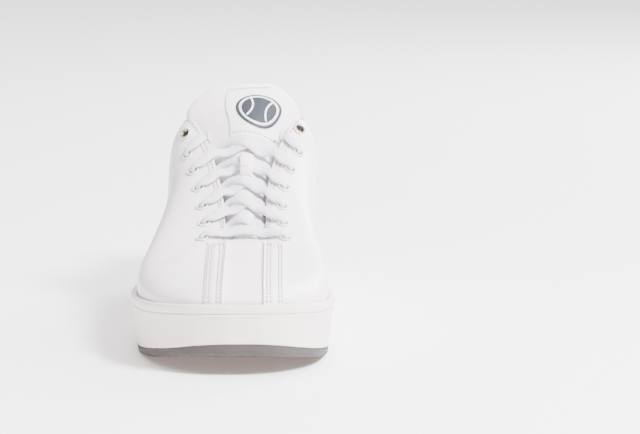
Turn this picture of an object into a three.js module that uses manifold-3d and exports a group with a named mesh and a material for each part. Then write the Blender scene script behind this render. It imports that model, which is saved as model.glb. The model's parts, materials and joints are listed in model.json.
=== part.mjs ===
// A low-cut leather court shoe for the right foot, in millimetres, with every layer as its own solid.
// The shoe stands on z = 0 with its toe towards -Y, its heel towards +Y and its outer side towards -X.
// Everything is drawn from one skin, skin(u, v): u runs once round the shoe through STATIONS, and v climbs
// from the sole's lip at 0 to the top line at 1. Below the lip, down to -1, the skin tucks into the sole.

import * as THREE from "three";
import { mergeVertices } from "three/addons/utils/BufferGeometryUtils.js";
import Module from "manifold-3d";

const wasm = await Module();
wasm.setup();

// ---- Driving dimensions ----

const GAP = 0.3; // clearance between neighbouring layers
const WALL = 3.4; // sidewall thickness of the rubber cup
const LEATHER = 1.5; // upper leather
const BACKING = 1.0; // stiffeners and tapes behind the leather
const LINING = 0.8; // textile lining
const LINED = LEATHER + BACKING + LINING + 2 * GAP + 0.1; // the whole wall of the upper
const COLLAR_PAD = 5; // most foam behind the collar, on top of LINED
const OVERLAY = 1.4; // leather sewn on top of the upper

const OUTSOLE = 4.1; // rubber tread under the cup
const CUP_FLOOR = 3.2;
const TUCK = 6.0; // how far the upper reaches below the footbed's surface
const BOARD = 2.0; // lasting board
const SOCK = 4.0; // removable sock liner

const TONGUE_FACE = 1.5;
const TONGUE_LINING = 1.0;
const TONGUE_CORE = 4.2; // foam in the laced part
const FLAP_CORE = 6.0; // foam in the free top
const FLEX_AT = 0.555; // where along the tongue it flexes
const FLEX_GAP = 0.02; // half of the split there, as a share of the tongue's length

const EYELET_ROWS = 7;
const EYELET_BORE = 2.0;
const EYELET_BARREL = 2.5;
const EYELET_FLANGE = 3.5;
const PUNCHED = 2.85; // hole through the upper for the barrel

const LACE_WIDTH = 6.6;
const LACE_THICK = 1.4;
const LACE_BUNCHED = [3.1, 2.3]; // width and thickness of the lace inside an eyelet
const AGLET_RADIUS = 1.6;
const AGLET_LENGTH = 20;

// Each station: [lip x, lip y, rise, lean, brow x, y, z, top x, y, z]. The lip is the sole's top edge seen
// from above. Rise and lean are the skin's first handle above the lip; brow is its second handle, below the
// top line.
const STATIONS = [
  [5, -147, 13, 3, 4.7, -88, 48, 4.5, -53, 54.8], // toe
  [-7.5, -146.3, 13, 3, -6.4, -88, 47.5, -5.5, -52.5, 54.5], // outer seam, to the throat's corner
  [-25, -139.5, 14, 2.5, -17, -66, 46.5, -6.3, -45, 57.2],
  [-42.5, -119.5, 16, 2.5, -22, -64, 46, -7, -36, 61.8],
  [-52.5, -90, 19, 3, -28, -58, 45.5, -8.2, -25, 68],
  [-55, -60, 22, 3.2, -32, -36, 54.5, -10, -12, 75.4],
  [-52, -26, 26, 2, -35.5, -12, 69.5, -13, 3, 84],
  [-47, 10, 32, 0.5, -38.5, 14, 84, -18.5, 23, 96.5],
  [-43, 44, 36, 1, -45, 40, 93, -30, 41, 106.5], // eyestay tip
  [-41.3, 74, 22, 2.5, -42, 64, 66, -34.5, 63, 77], // low point of the collar
  [-39.5, 100, 22, 3.5, -39.5, 90, 66, -33.5, 90, 79],
  [-32, 127, 26, 4, -30, 119, 74, -26, 116, 88],
  [-12.5, 145.8, 30, 4, -12.8, 141, 84, -12, 134, 98],
  [0, 148, 30, 4, 0, 143.5, 85, 0, 137, 100], // heel
  [12.5, 145.4, 30, 4, 12.8, 140.6, 84, 12, 133.6, 98],
  [30.5, 127, 26, 4, 31, 119, 74, 26, 116, 88],
  [38, 100, 22, 3.5, 41, 90, 66, 33.3, 90, 79],
  [38.3, 74, 22, 4.5, 47, 64, 66, 34.5, 63, 77.5],
  [37.5, 44, 36, 4.5, 48.5, 40, 94, 32, 40.5, 107.5], // eyestay tip
  [39.5, 10, 32, 4.5, 45, 14, 83, 22.5, 23, 97],
  [43.5, -26, 26, 4, 41, -12, 68.5, 17, 3, 84.4],
  [49, -60, 22, 4.2, 38, -36, 53.5, 15.3, -12, 75.4],
  [50.5, -90, 19, 4, 34, -58, 45.5, 14.8, -25, 68],
  [45.5, -119.5, 16, 2.5, 28, -64, 46, 14.5, -36, 61.8],
  [33, -137.5, 14, 2.5, 25, -66, 46.5, 14.4, -45, 57.2],
  [18, -145.8, 13, 3, 16.6, -88, 47.5, 14.5, -52.5, 54.5], // inner seam
];
const LAPS = STATIONS.length;
const OUTER_SEAM = 1;
const INNER_SEAM = LAPS - 1;
const HEEL = 13;
const OUTER_TIP = 8;
const INNER_TIP = 18;

// Heights along the shoe, as [y, z] points.
const LIP_LINE = [
  [-148, 37.4], [-120, 33.6], [-90, 31], [-60, 29.8], [0, 28.8], [60, 29.6], [110, 30.4], [148, 29.6],
];
const FOOTBED_LINE = [
  [-148, 29.5], [-120, 24.4], [-90, 21.2], [-60, 20], [-20, 20.8], [20, 23], [50, 24], [70, 24], [110, 24],
  [148, 24],
];
const SPRING_START = -80; // the tread lifts from the ground forward of here
const SPRING_LENGTH = 62;
const SPRING_HEIGHT = 10.6; // one spring length forward of the start
const TOE_BUMPER = 1.5; // extra thickness of the tread at the toe

// Eyelet places seen from above, from the toe up: [outer x, inner x, y].
const EYELETS = [
  [-18.5, 25.2, -53], [-18, 23.6, -37.5], [-19.6, 22.9, -22.8], [-22.2, 23.8, -8.3],
  [-25.5, 27, 5.8], [-29.2, 31.2, 20.3], [-30.5, 31.8, 31],
];

// The tongue's middle line: [x, y, z, half width, tilt in degrees, half angle of its arched section, bulge].
const TONGUE = [
  [4.5, -68, 43, 14, 0, 20, 0], [4.4, -52, 47.6, 15.5, 0, 24, 0], [3.7, -36, 55.8, 18, 0, 30, 5.3],
  [2.7, -14, 67.5, 21.5, 0, 34, 6.8], [1.9, 6, 79.2, 25, 2, 36, 6.8], [1.9, 23, 90, 26, 4, 38, 6],
  [2, 36.5, 102.3, 28, 6, 38, 3.5], [1, 46.5, 113, 33.2, 6, 32, 1], [0, 52.5, 120, 28.5, 9, 26, 0],
  [-1, 56, 124.6, 19.5, 12, 16, 0],
];

const COLOURS = {
  white_leather: [0xf2eff1, 0.42, 0], white_rubber: [0xefeae9, 0.55, 0], grey_rubber: [0x8f8685, 0.7, 0],
  blue_lining: [0x4f5a78, 0.95, 0], foam: [0xe3dfd2, 0.95, 0], board: [0xcfc4ae, 0.9, 0],
  white_lace: [0xf4f4f8, 0.9, 0], aged_nickel: [0x9a8a74, 0.35, 0.9], white_enamel: [0xeceaec, 0.4, 0.1],
  grey_emblem: [0x757887, 0.5, 0], stiffener: [0xd9d2c4, 0.8, 0], clear_tip: [0xdfe2e8, 0.3, 0],
};

// ---- Curves and the skin ----

const lerp = (a, b, t) => a + (b - a) * t;
const clamp = (x, low, high) => Math.min(high, Math.max(low, x));

// One value of a uniform Catmull-Rom curve between b and c.
function blend(a, b, c, d, t) {
  return b + 0.5 * t * (c - a + t * (2 * a - 5 * b + 4 * c - d + t * (3 * (b - c) + d - a)));
}

// The row of numbers at u along rows; a closed list wraps, an open one stops at its ends.
function along(rows, u, closed) {
  const n = rows.length;
  const i = closed ? Math.floor(u) : Math.floor(clamp(u, 0, n - 1.000001));
  const at = (k) => rows[closed ? ((k % n) + n) % n : clamp(k, 0, n - 1)];
  const [a, b, c, d] = [at(i - 1), at(i), at(i + 1), at(i + 2)];
  return b.map((_, k) => blend(a[k], b[k], c[k], d[k], u - i));
}

// Height at y on a line of [y, z] points, smooth through them.
function heightAt(line, y) {
  const n = line.length;
  let i = 0;
  while (i < n - 2 && y > line[i + 1][0]) i += 1;
  const slope = (k) => {
    const [a, b] = [line[Math.max(k - 1, 0)], line[Math.min(k + 1, n - 1)]];
    return (b[1] - a[1]) / (b[0] - a[0]);
  };
  const [[y0, z0], [y1, z1]] = [line[i], line[i + 1]];
  const span = y1 - y0;
  const t = clamp((y - y0) / span, 0, 1);
  const [m0, m1] = [slope(i) * span, slope(i + 1) * span];
  return z0 + t * (m0 + t * (3 * (z1 - z0) - 2 * m0 - m1 + t * (m0 + m1 - 2 * (z1 - z0))));
}

const groundZ = (y) => SPRING_HEIGHT * (Math.max(0, SPRING_START - y) / SPRING_LENGTH) ** 1.4;
const treadZ = (y) => groundZ(y) + OUTSOLE + TOE_BUMPER * clamp((-122 - y) / 22, 0, 1) ** 2;
const lipZ = (y) => heightAt(LIP_LINE, y);
const footbedZ = (y) => heightAt(FOOTBED_LINE, y);

// A point of the lip seen from above, moved inwards by inset.
function lipPoint(u, inset) {
  const [a, p, b] = [u - 0.02, u, u + 0.02].map((k) => along(STATIONS, k, true));
  const [tx, ty] = [b[0] - a[0], b[1] - a[1]];
  const length = Math.hypot(tx, ty);
  const out = [-ty / length, tx / length];
  return { x: p[0] - out[0] * inset, y: p[1] - out[1] * inset, out, row: p };
}

function skinPoint(u, v) {
  const { x, y, out, row } = lipPoint(u, WALL + GAP);
  const z = lipZ(y);
  if (v < 0) return new THREE.Vector3(x, y, lerp(z, footbedZ(y) - TUCK, -v));
  const [, , rise, lean, bx, by, bz, ex, ey, ez] = row;
  const handle = [x + out[0] * lean, y + out[1] * lean, z + rise];
  const [f, b1, b2, e] = [[x, y, z], handle, [bx, by, bz], [ex, ey, ez]];
  const w = [(1 - v) ** 3, 3 * v * (1 - v) ** 2, 3 * v * v * (1 - v), v ** 3];
  return new THREE.Vector3(...[0, 1, 2].map((k) => w[0] * f[k] + w[1] * b1[k] + w[2] * b2[k] + w[3] * e[k]));
}

// The skin's point and outward direction at (u, v).
function skin(u, v) {
  const step = 0.01;
  const [low, high] = [Math.max(v - step, -1), Math.min(v + step, 1)];
  const du = skinPoint(u + step, v).sub(skinPoint(u - step, v));
  const dv = skinPoint(u, high).sub(skinPoint(u, low));
  return { p: skinPoint(u, v), n: dv.cross(du).normalize() };
}

const lifted = ({ p, n }, offset) => p.clone().addScaledVector(n, offset);

// Where on the skin's upper side the point (x, y) seen from above lies, searched from a first guess.
function findOnSkin(x, y, u, v) {
  for (let turn = 0; turn < 30; turn += 1) {
    const p = skinPoint(u, v);
    const [ex, ey] = [x - p.x, y - p.y];
    if (Math.hypot(ex, ey) < 1e-3) break;
    const a = skinPoint(u + 0.01, v).sub(p).multiplyScalar(100);
    const b = skinPoint(u, Math.max(v - 0.01, 0)).sub(p).multiplyScalar(-100);
    const det = a.x * b.y - a.y * b.x;
    u += clamp((ex * b.y - ey * b.x) / det, -0.5, 0.5);
    v = clamp(v + clamp((a.x * ey - a.y * ex) / det, -0.2, 0.2), 0.02, 1);
  }
  return [u, v];
}

// Foam behind the collar: none forward of the eyestay tips, most half way down the collar.
function padAt(u, v) {
  const fromTip = Math.min(u - OUTER_TIP, INNER_TIP - u);
  const round = clamp(fromTip / 1.2, 0, 1);
  const down = clamp((v - 0.48) / 0.52, 0, 1);
  return COLLAR_PAD * round * round * (3 - 2 * round) * Math.sin(Math.PI * down);
}

// ---- Turning surfaces into solids ----

// A closed mesh from points and triangles, faced outwards.
function solid(points, faces) {
  let volume = 0;
  for (const [a, b, c] of faces) volume += points[a].dot(points[b].clone().cross(points[c]));
  const index = faces.flatMap(([a, b, c]) => (volume > 0 ? [a, b, c] : [a, c, b]));
  const geometry = new THREE.BufferGeometry().setFromPoints(points);
  geometry.setIndex(index);
  return geometry;
}

// A slab between two offsets of a patch. patch(s, t) gives { p, n } for s and t from 0 to 1.
function slab(patch, across, up, low, high) {
  const points = [];
  const rows = up + 1;
  const value = (f, s, t) => (typeof f === "function" ? f(s, t) : f);
  for (const side of [high, low])
    for (let i = 0; i <= across; i += 1)
      for (let j = 0; j <= up; j += 1) {
        const [s, t] = [i / across, j / up];
        points.push(lifted(patch(s, t), value(side, s, t)));
      }
  const under = (across + 1) * rows;
  const faces = [];
  const quad = (a, b, c, d) => faces.push([a, b, c], [a, c, d]);
  for (let i = 0; i < across; i += 1)
    for (let j = 0; j < up; j += 1) {
      const a = i * rows + j;
      quad(a, a + rows, a + rows + 1, a + 1);
      quad(under + a, under + a + 1, under + a + rows + 1, under + a + rows);
    }
  const rim = [];
  for (let i = 0; i < across; i += 1) rim.push(i * rows);
  for (let j = 0; j < up; j += 1) rim.push(across * rows + j);
  for (let i = across; i > 0; i -= 1) rim.push(i * rows + up);
  for (let j = up; j > 0; j -= 1) rim.push(j);
  rim.forEach((a, k) => {
    const b = rim[(k + 1) % rim.length];
    quad(b, a, under + a, under + b);
  });
  return solid(points, faces);
}

// Every layer that follows the skin is cut along these same levels and half stations, so that the layers'
// facets stay parallel and their clearance holds all over.
const LEVELS = [-1, -0.45, 0, 0.12, 0.24, 0.36, 0.48, 0.6, 0.72, 0.84, 0.93, 1];

function cuts(from, to, grid) {
  const [low, high] = [Math.min(from, to), Math.max(from, to)];
  const inside = grid.filter((x) => x > low + 0.02 && x < high - 0.02);
  return [low, ...inside, high];
}

const halfStations = Array.from({ length: 6 * LAPS + 1 }, (_, i) => i / 2 - LAPS);

// A layer of the skin between two stations and two heights. low and high are offsets, or functions of (u, v).
function layer(u0, u1, v0, v1, low, high) {
  const us = cuts(u0, u1, halfStations);
  const vs = cuts(v0, v1, LEVELS);
  const at = (f) => (typeof f === "function" ? f : () => f);
  const [lowAt, highAt] = [at(low), at(high)];
  const pick = (s, t) => [us[Math.round(s * (us.length - 1))], vs[Math.round(t * (vs.length - 1))]];
  return slab((s, t) => skin(...pick(s, t)), us.length - 1, vs.length - 1,
    (s, t) => lowAt(...pick(s, t)), (s, t) => highAt(...pick(s, t)));
}

// A piece of the sole: rings of [inset, height as a function of y] from the underside round to the top.
function soleSolid(rings, count = 2 * LAPS) {
  const points = [];
  for (const [inset, z] of rings)
    for (let k = 0; k < count; k += 1) {
      const { x, y } = lipPoint((k * LAPS) / count, inset);
      points.push(new THREE.Vector3(x, y, z(y)));
    }
  const faces = [];
  for (let r = 0; r < rings.length - 1; r += 1)
    for (let k = 0; k < count; k += 1) {
      const [a, b] = [r * count + k, r * count + ((k + 1) % count)];
      faces.push([a, b, b + count], [a, b + count, a + count]);
    }
  // The end rings are closed by strips that run straight across the shoe.
  const cap = (base, turned) => {
    for (let k = 0; k < count / 2; k += 1) {
      const [a, b] = [k, k + 1];
      const [c, d] = [(count - k - 1) % count, (count - k) % count];
      for (const f of [[a, b, c], [a, c, d]]) {
        if (new Set(f).size < 3) continue;
        const g = f.map((i) => base + i);
        faces.push(turned ? g.reverse() : g);
      }
    }
  };
  cap(0, true);
  cap((rings.length - 1) * count, false);
  return solid(points, faces);
}

// The geometry without its normals and texture places, each corner kept once.
function joined(geometry) {
  const bare = geometry.clone();
  bare.deleteAttribute("normal");
  bare.deleteAttribute("uv");
  return mergeVertices(bare, 1e-4);
}

function toManifold(geometry) {
  const merged = joined(geometry);
  return new wasm.Manifold(
    new wasm.Mesh({
      numProp: 3,
      vertProperties: merged.attributes.position.array,
      triVerts: new Uint32Array(merged.index.array),
    }),
  );
}

function fromManifold(made) {
  const { vertProperties, triVerts } = made.getMesh();
  return new THREE.BufferGeometry()
    .setAttribute("position", new THREE.BufferAttribute(vertProperties, 3))
    .setIndex(new THREE.BufferAttribute(triVerts, 1));
}

// The geometry with round holes of radius r through it, each at { p, n }.
function punched(geometry, places, r, depth = 26) {
  let made = toManifold(geometry);
  for (const place of places) {
    const drill = new THREE.CylinderGeometry(r, r, depth, 8);
    made = made.subtract(toManifold(stood(drill, place, 0)));
  }
  return fromManifold(made);
}

// A geometry whose own Y axis is turned to stand along a place's direction, at offset above it.
function stood(geometry, place, offset) {
  const turn = new THREE.Quaternion().setFromUnitVectors(new THREE.Vector3(0, 1, 0), place.n);
  const at = lifted(place, offset);
  geometry.applyMatrix4(new THREE.Matrix4().compose(at, turn, new THREE.Vector3(1, 1, 1)));
  return geometry;
}

// ---- The assembly ----

const shoe = new THREE.Group();

function add(name, geometry, finish) {
  const [color, roughness, metalness] = COLOURS[finish];
  const mesh = new THREE.Mesh(geometry, new THREE.MeshStandardMaterial({ color, roughness, metalness }));
  mesh.name = name;
  shoe.add(mesh);
}

// Sole unit, from the ground up.
const cupFloorZ = (y) => treadZ(y) + GAP + CUP_FLOOR;
const boardZ = (y) => footbedZ(y) - SOCK - GAP;
add("outsole", soleSolid([
  [5.2, groundZ], [3.6, (y) => groundZ(y) + 1.4], [3.2, treadZ],
]), "grey_rubber");
add("cupsole", soleSolid([
  [3.4, (y) => treadZ(y) + GAP],
  [2.0, (y) => lerp(treadZ(y), lipZ(y), 0.45)],
  [0.7, (y) => lipZ(y) - 5.2],
  [0.2, (y) => lipZ(y) - 1.2],
  [1.4, lipZ],
  [3.4, (y) => lipZ(y) - 0.8],
  [WALL - GAP, (y) => lipZ(y) - 3],
  [WALL, cupFloorZ],
]), "white_rubber");
add("midsole_core", soleSolid([
  [WALL + GAP, (y) => cupFloorZ(y) + GAP],
  [WALL + GAP, (y) => boardZ(y) - BOARD - GAP - 1.6],
  [WALL + LINED + 1.2, (y) => boardZ(y) - BOARD - GAP],
]), "foam");
add("lasting_board", soleSolid([
  [WALL + LINED + 1.2, (y) => boardZ(y) - BOARD], [WALL + LINED + 1.2, boardZ],
]), "board");
add("sock_liner", soleSolid([
  [WALL + LINED + 1.2, (y) => footbedZ(y) - SOCK],
  [WALL + LINED + 1.0, (y) => footbedZ(y) + 2.4],
  [WALL + LINED + 3.4, (y) => footbedZ(y) + 2.2],
  [WALL + LINED + 9, footbedZ],
]), "blue_lining");

// Moulded strip on the heel's sidewall. The wall leans, so its direction points a little down.
const sidewall = (u, z) => {
  const { x, y, out } = lipPoint(u, lerp(3.4, 2, clamp((z - 4.4) / 11.4, 0, 1)));
  return { p: new THREE.Vector3(x, y, z), n: new THREE.Vector3(...out, -0.12).normalize() };
};
const [STRIP_LOW, STRIP_HIGH, STRIP_HALF] = [6.4, 15.2, 1.5]; // heights, and half its length in stations
const strip = (s, t) => sidewall(HEEL + STRIP_HALF * (2 * s - 1), lerp(STRIP_LOW, STRIP_HIGH, t));
add("heel_strip", slab(strip, 6, 1, GAP, GAP + 0.8), "white_rubber");

// Eyelets: places on the skin, and the grommets that stand in them.
const place = (x, y, guess) => skin(...findOnSkin(x, y, guess, 0.8));
const outerEyes = EYELETS.map(([x, , y], i) => place(x, y, OUTER_SEAM + 1.5 + i));
const innerEyes = EYELETS.map(([, x, y], i) => place(x, y, INNER_SEAM - 1.5 - i));
const barrelEnd = -LINED - 0.2;
const grommetProfile = [
  [EYELET_BORE, barrelEnd], [EYELET_BARREL, barrelEnd], [EYELET_BARREL, 0.5], [EYELET_FLANGE - 0.2, 0.5],
  [EYELET_FLANGE, 0.8], [EYELET_BORE + 0.9, 1.3], [EYELET_BORE, 0.9], [EYELET_BORE, barrelEnd],
].map(([r, h]) => new THREE.Vector2(r, h));

// Upper leather. The vamp is the plain middle panel; the quarters meet it under the toe straps.
const SEAM_GAP = 0.02; // stations between two panels that meet edge to edge
const outerHalf = [OUTER_SEAM + SEAM_GAP, HEEL - SEAM_GAP];
const innerHalf = [HEEL + SEAM_GAP, INNER_SEAM - SEAM_GAP];
const middle = [INNER_SEAM + SEAM_GAP - LAPS, OUTER_SEAM - SEAM_GAP];
add("vamp", layer(...middle, -1, 1, -LEATHER, 0), "white_leather");
add("quarter_outer", punched(layer(...outerHalf, -1, 1, -LEATHER, 0), outerEyes, PUNCHED), "white_leather");
add("quarter_inner", punched(layer(...innerHalf, -1, 1, -LEATHER, 0), innerEyes, PUNCHED), "white_leather");

// Backing layer: toe puff, eyestay tapes, heel counter and collar foam.
const behind = -LEATHER - GAP;
const backed = behind - BACKING;
const TAPE_LOW = 0.6;
const outerTape = layer(OUTER_SEAM + 1.5, OUTER_TIP - 0.5, TAPE_LOW, 0.98, backed, behind);
const innerTape = layer(INNER_TIP + 0.5, INNER_SEAM - 1.5, TAPE_LOW, 0.98, backed, behind);
add("toe_puff", layer(-2.5, 2.5, -0.45, 0.6, backed, behind), "stiffener");
add("eyestay_tape_outer", punched(outerTape, outerEyes, PUNCHED), "stiffener");
add("eyestay_tape_inner", punched(innerTape, innerEyes, PUNCHED), "stiffener");
add("heel_counter", layer(OUTER_TIP + 2, INNER_TIP - 2, -1, 0.45, backed, behind), "stiffener");
const foamUnder = (u, v) => backed - padAt(u, v);
add("collar_foam", layer(OUTER_TIP, INNER_TIP, 0.48, 0.98, foamUnder, behind), "foam");

// Textile lining, in a front and a rear part that meet at the vamp's seams.
const liningFace = (u, v) => -LINED - padAt(u, v);
const liningBack = (u, v) => -LINED + LINING - padAt(u, v);
add("vamp_lining", layer(...middle, -1, 0.98, liningFace, liningBack), "blue_lining");
add("quarter_lining", punched(
  layer(OUTER_SEAM + SEAM_GAP, INNER_SEAM - SEAM_GAP, -1, 0.98, liningFace, liningBack),
  [...outerEyes, ...innerEyes], PUNCHED), "blue_lining");

// Toe straps and heel stay, sewn on top of the upper.
const strapPatch = (inner, outer, guess) => (s, t) => {
  const y = lerp(-140.5, -59, t);
  const x = lerp(inner(t), outer(t), s);
  const [u, v] = findOnSkin(x, y, guess, lerp(0.15, 0.9, t));
  return skin(u, v);
};
const outerStrap = strapPatch((t) => lerp(-4.5, -5.2, t), (t) => lerp(-14, -15.4, t), OUTER_SEAM);
const innerStrap = strapPatch((t) => lerp(15, 14, t), (t) => lerp(25, 24.3, t), INNER_SEAM);
add("toe_strap_outer", slab(outerStrap, 2, 12, 0.9, 0.9 + OVERLAY), "white_leather");
add("toe_strap_inner", slab(innerStrap, 2, 12, 0.9, 0.9 + OVERLAY), "white_leather");
add("heel_stay", layer(HEEL - 0.97, HEEL + 0.97, 0.04, 0.95, GAP, GAP + OVERLAY), "white_leather");

// Collar binding: a leather roll over the top edges, from one eyestay tip round the heel to the other.
// Its section is given as distance out of the skin and up from the top line.
const bindingSection = [
  [0.7, 0.9], [0.7, 2.3], [-0.7, 3.7], [-LINED + 0.7, 3.7], [-LINED - 0.7, 2.3], [-LINED - 0.7, 0.9],
];
function bindingSolid(from, to) {
  const points = cuts(from, to, halfStations).flatMap((u) => {
    const { p, n } = skin(u, 1);
    const rise = skinPoint(u, 1).sub(skinPoint(u, 0.96)).normalize();
    return bindingSection.map(([out, up]) => p.clone().addScaledVector(n, out).addScaledVector(rise, up));
  });
  return tube(points, bindingSection.length);
}
add("collar_binding", bindingSolid(OUTER_TIP + 0.5, INNER_TIP - 0.5), "white_leather");

// A grommet, its axis along Y, as a closed ring without the lathe's doubled seam.
function grommet() {
  const merged = joined(new THREE.LatheGeometry(grommetProfile, 9));
  const points = [];
  for (let i = 0; i < merged.attributes.position.count; i += 1)
    points.push(new THREE.Vector3().fromBufferAttribute(merged.attributes.position, i));
  const faces = [];
  for (let i = 0; i < merged.index.count; i += 3) {
    const f = [0, 1, 2].map((k) => merged.index.getX(i + k));
    if (new Set(f).size === 3) faces.push(f);
  }
  return solid(points, faces);
}
for (const [side, eyes] of [["outer", outerEyes], ["inner", innerEyes]])
  eyes.forEach((eye, i) => {
    const finish = i === EYELET_ROWS - 1 ? "aged_nickel" : "white_enamel";
    add(`eyelet_${side}_${i + 1}`, stood(grommet(), eye, 0), finish);
  });

// ---- Tongue ----

// The tongue's outer face at s along it (0 at the vamp, 1 at the top) and a across it (-1 outer, 1 inner).
function tongueAxes(s) {
  const k = s * (TONGUE.length - 1);
  const row = along(TONGUE, k, false);
  const [before, after] = [along(TONGUE, k - 0.05, false), along(TONGUE, k + 0.05, false)];
  const forward = new THREE.Vector3(...[0, 1, 2].map((i) => after[i] - before[i])).normalize();
  const tilt = THREE.MathUtils.degToRad(row[4]);
  const side = new THREE.Vector3(Math.cos(tilt), 0, -Math.sin(tilt));
  side.addScaledVector(forward, -side.dot(forward)).normalize();
  return { middle: new THREE.Vector3(...row.slice(0, 3)), side, up: side.clone().cross(forward), row };
}

function tongue(s, a) {
  const { middle, side, up, row } = tongueAxes(s);
  const arc = THREE.MathUtils.degToRad(row[5]);
  const radius = row[3] / Math.sin(arc);
  const angle = a * arc;
  const p = middle.clone().addScaledVector(side, radius * Math.sin(angle));
  const bulge = row[6] * (0.5 + 0.5 * Math.cos(Math.PI * clamp(Math.abs(a) / 0.66, 0, 1)));
  p.addScaledVector(up, bulge - radius * (1 - Math.cos(angle)));
  const n = side.clone().multiplyScalar(Math.sin(angle)).addScaledVector(up, Math.cos(angle));
  return { p, n };
}

const tonguePatch = (s0, s1, a0, a1) => (s, t) => tongue(lerp(s0, s1, t), lerp(a0, a1, s));
function addTongue(part, s0, s1, core, rows) {
  const wide = tonguePatch(s0, s1, -1, 1);
  const narrow = tonguePatch(s0 + 0.01, s1 - 0.012, -0.94, 0.94);
  add(`tongue_face_${part}`, slab(wide, 8, rows, -TONGUE_FACE, 0), "white_leather");
  add(`tongue_foam_${part}`, slab(narrow, 8, rows, -TONGUE_FACE - GAP - core, -TONGUE_FACE - GAP), "foam");
  const under = -TONGUE_FACE - 2 * GAP - core;
  add(`tongue_lining_${part}`, slab(wide, 8, rows, under - TONGUE_LINING, under), "blue_lining");
}
addTongue("lower", 0, FLEX_AT - FLEX_GAP, TONGUE_CORE, 8);
addTongue("flap", FLEX_AT + FLEX_GAP, 1, FLAP_CORE, 7);

// Label on the flap, the emblem on the label, and the size label on the lining side.
add("tongue_label", slab(tonguePatch(0.592, 0.945, -0.3, 0.7), 6, 7, 0.35, 1.15), "white_leather");
function disc(s0, a0, alongRadius, acrossRadius, low, high, sides = 20) {
  const ring = (r, offset) => Array.from({ length: sides }, (_, k) => {
    const angle = (2 * Math.PI * k) / sides;
    const [s, a] = [s0 + r * alongRadius * Math.sin(angle), a0 + r * acrossRadius * Math.cos(angle)];
    return lifted(tongue(s, a), offset);
  });
  const points = [...ring(1, low), ...ring(1, high), ...ring(0.5, low), ...ring(0.5, high)];
  points.push(lifted(tongue(s0, a0), low), lifted(tongue(s0, a0), high));
  const faces = [];
  for (let k = 0; k < sides; k += 1) {
    const j = (k + 1) % sides;
    faces.push([k, j, sides + j], [k, sides + j, sides + k]);
    faces.push([sides + k, sides + j, 3 * sides + j], [sides + k, 3 * sides + j, 3 * sides + k]);
    faces.push([3 * sides + k, 3 * sides + j, 4 * sides + 1]);
    faces.push([j, k, 2 * sides + k], [j, 2 * sides + k, 2 * sides + j]);
    faces.push([2 * sides + j, 2 * sides + k, 4 * sides]);
  }
  return solid(points, faces);
}
add("tongue_emblem", disc(0.745, 0.23, 0.098, 0.37, 1.5, 2.2), "grey_emblem");
const flapBack = -TONGUE_FACE - 2 * GAP - FLAP_CORE - TONGUE_LINING;
const labelPatch = tonguePatch(0.8, 0.9, -0.3, 0.3);
add("size_label", slab(labelPatch, 4, 2, flapBack - 0.9, flapBack - 0.35), "blue_lining");

// Lace keeper: a leather bridge on the tongue that both laces of the fourth row pass under.
const KEEPER_RISE = [
  [0, 0], [0.08, 3.4], [0.2, 4.9], [0.5, 5.2], [0.68, 4.1], [0.78, 2.2], [0.86, 0], [1, 0],
];
const keeperFace = (offset) => (s, t) => offset + heightAt(KEEPER_RISE, t);
const keeperPatch = tonguePatch(0.399, 0.5, -0.08, 0.165);
add("lace_keeper", slab(keeperPatch, 2, 14, keeperFace(0.35), keeperFace(1.4)), "white_leather");

// ---- Lace ----

// A ribbon along controls of { p, n, w, t }: point, the flat side's direction, width and thickness.
// The curve is parametrised by chord length, so that close controls make no loops.
function ribbon(controls, pitch) {
  const rows = controls.map(({ p, n, w, t }) => [p.x, p.y, p.z, n.x, n.y, n.z, w, t]);
  const chord = controls.slice(1).map(({ p }, i) => p.distanceTo(controls[i].p));
  const steep = chord.map((h, i) => rows[i].map((x, k) => (rows[i + 1][k] - x) / h));
  const slopes = rows.map((row, i) => {
    if (i === 0) return steep[0];
    if (i === chord.length) return steep[i - 1];
    const [before, after] = [chord[i - 1], chord[i]];
    return row.map((_, k) => (steep[i][k] * before + steep[i - 1][k] * after) / (before + after));
  });
  const samples = [];
  chord.forEach((h, i) => {
    const steps = Math.max(1, Math.round(h / pitch));
    const last = i === chord.length - 1 ? steps : steps - 1;
    for (let j = 0; j <= last; j += 1) {
      const t = j / steps;
      const ends = [1 + t * t * (2 * t - 3), t * t * (3 - 2 * t)];
      const pulls = [t * (1 - t) ** 2 * h, t * t * (t - 1) * h];
      samples.push(rows[i].map((x, k) => (
        ends[0] * x + ends[1] * rows[i + 1][k] + pulls[0] * slopes[i][k] + pulls[1] * slopes[i + 1][k]
      )));
    }
  });
  const section = [[0.5, 0], [0.36, 0.5], [-0.36, 0.5], [-0.5, 0], [-0.36, -0.5], [0.36, -0.5]];
  const at = (i) => new THREE.Vector3(...samples[clamp(i, 0, samples.length - 1)]);
  const points = samples.flatMap((r, i) => {
    const forward = at(i + 1).sub(at(i - 1)).normalize();
    const face = new THREE.Vector3(r[3], r[4], r[5]);
    face.addScaledVector(forward, -face.dot(forward)).normalize();
    const side = forward.clone().cross(face);
    return section.map(([x, y]) => at(i).addScaledVector(side, x * r[6]).addScaledVector(face, y * r[7]));
  });
  return tube(points, section.length);
}

// A closed tube over rings of m points each.
function tube(points, m) {
  const count = points.length / m - 1;
  const faces = [];
  for (let i = 0; i < count; i += 1)
    for (let k = 0; k < m; k += 1) {
      const [a, b] = [i * m + k, i * m + ((k + 1) % m)];
      faces.push([a, b, b + m], [a, b + m, a + m]);
    }
  for (let k = 1; k < m - 1; k += 1) {
    faces.push([0, k + 1, k]);
    faces.push([count * m, count * m + k, count * m + k + 1]);
  }
  return solid(points, faces);
}

const flat = ({ p, n }, offset, sign, width = LACE_WIDTH) => (
  { p: lifted({ p, n }, offset), n: n.clone().multiplyScalar(sign), w: width, t: LACE_THICK }
);

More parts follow.
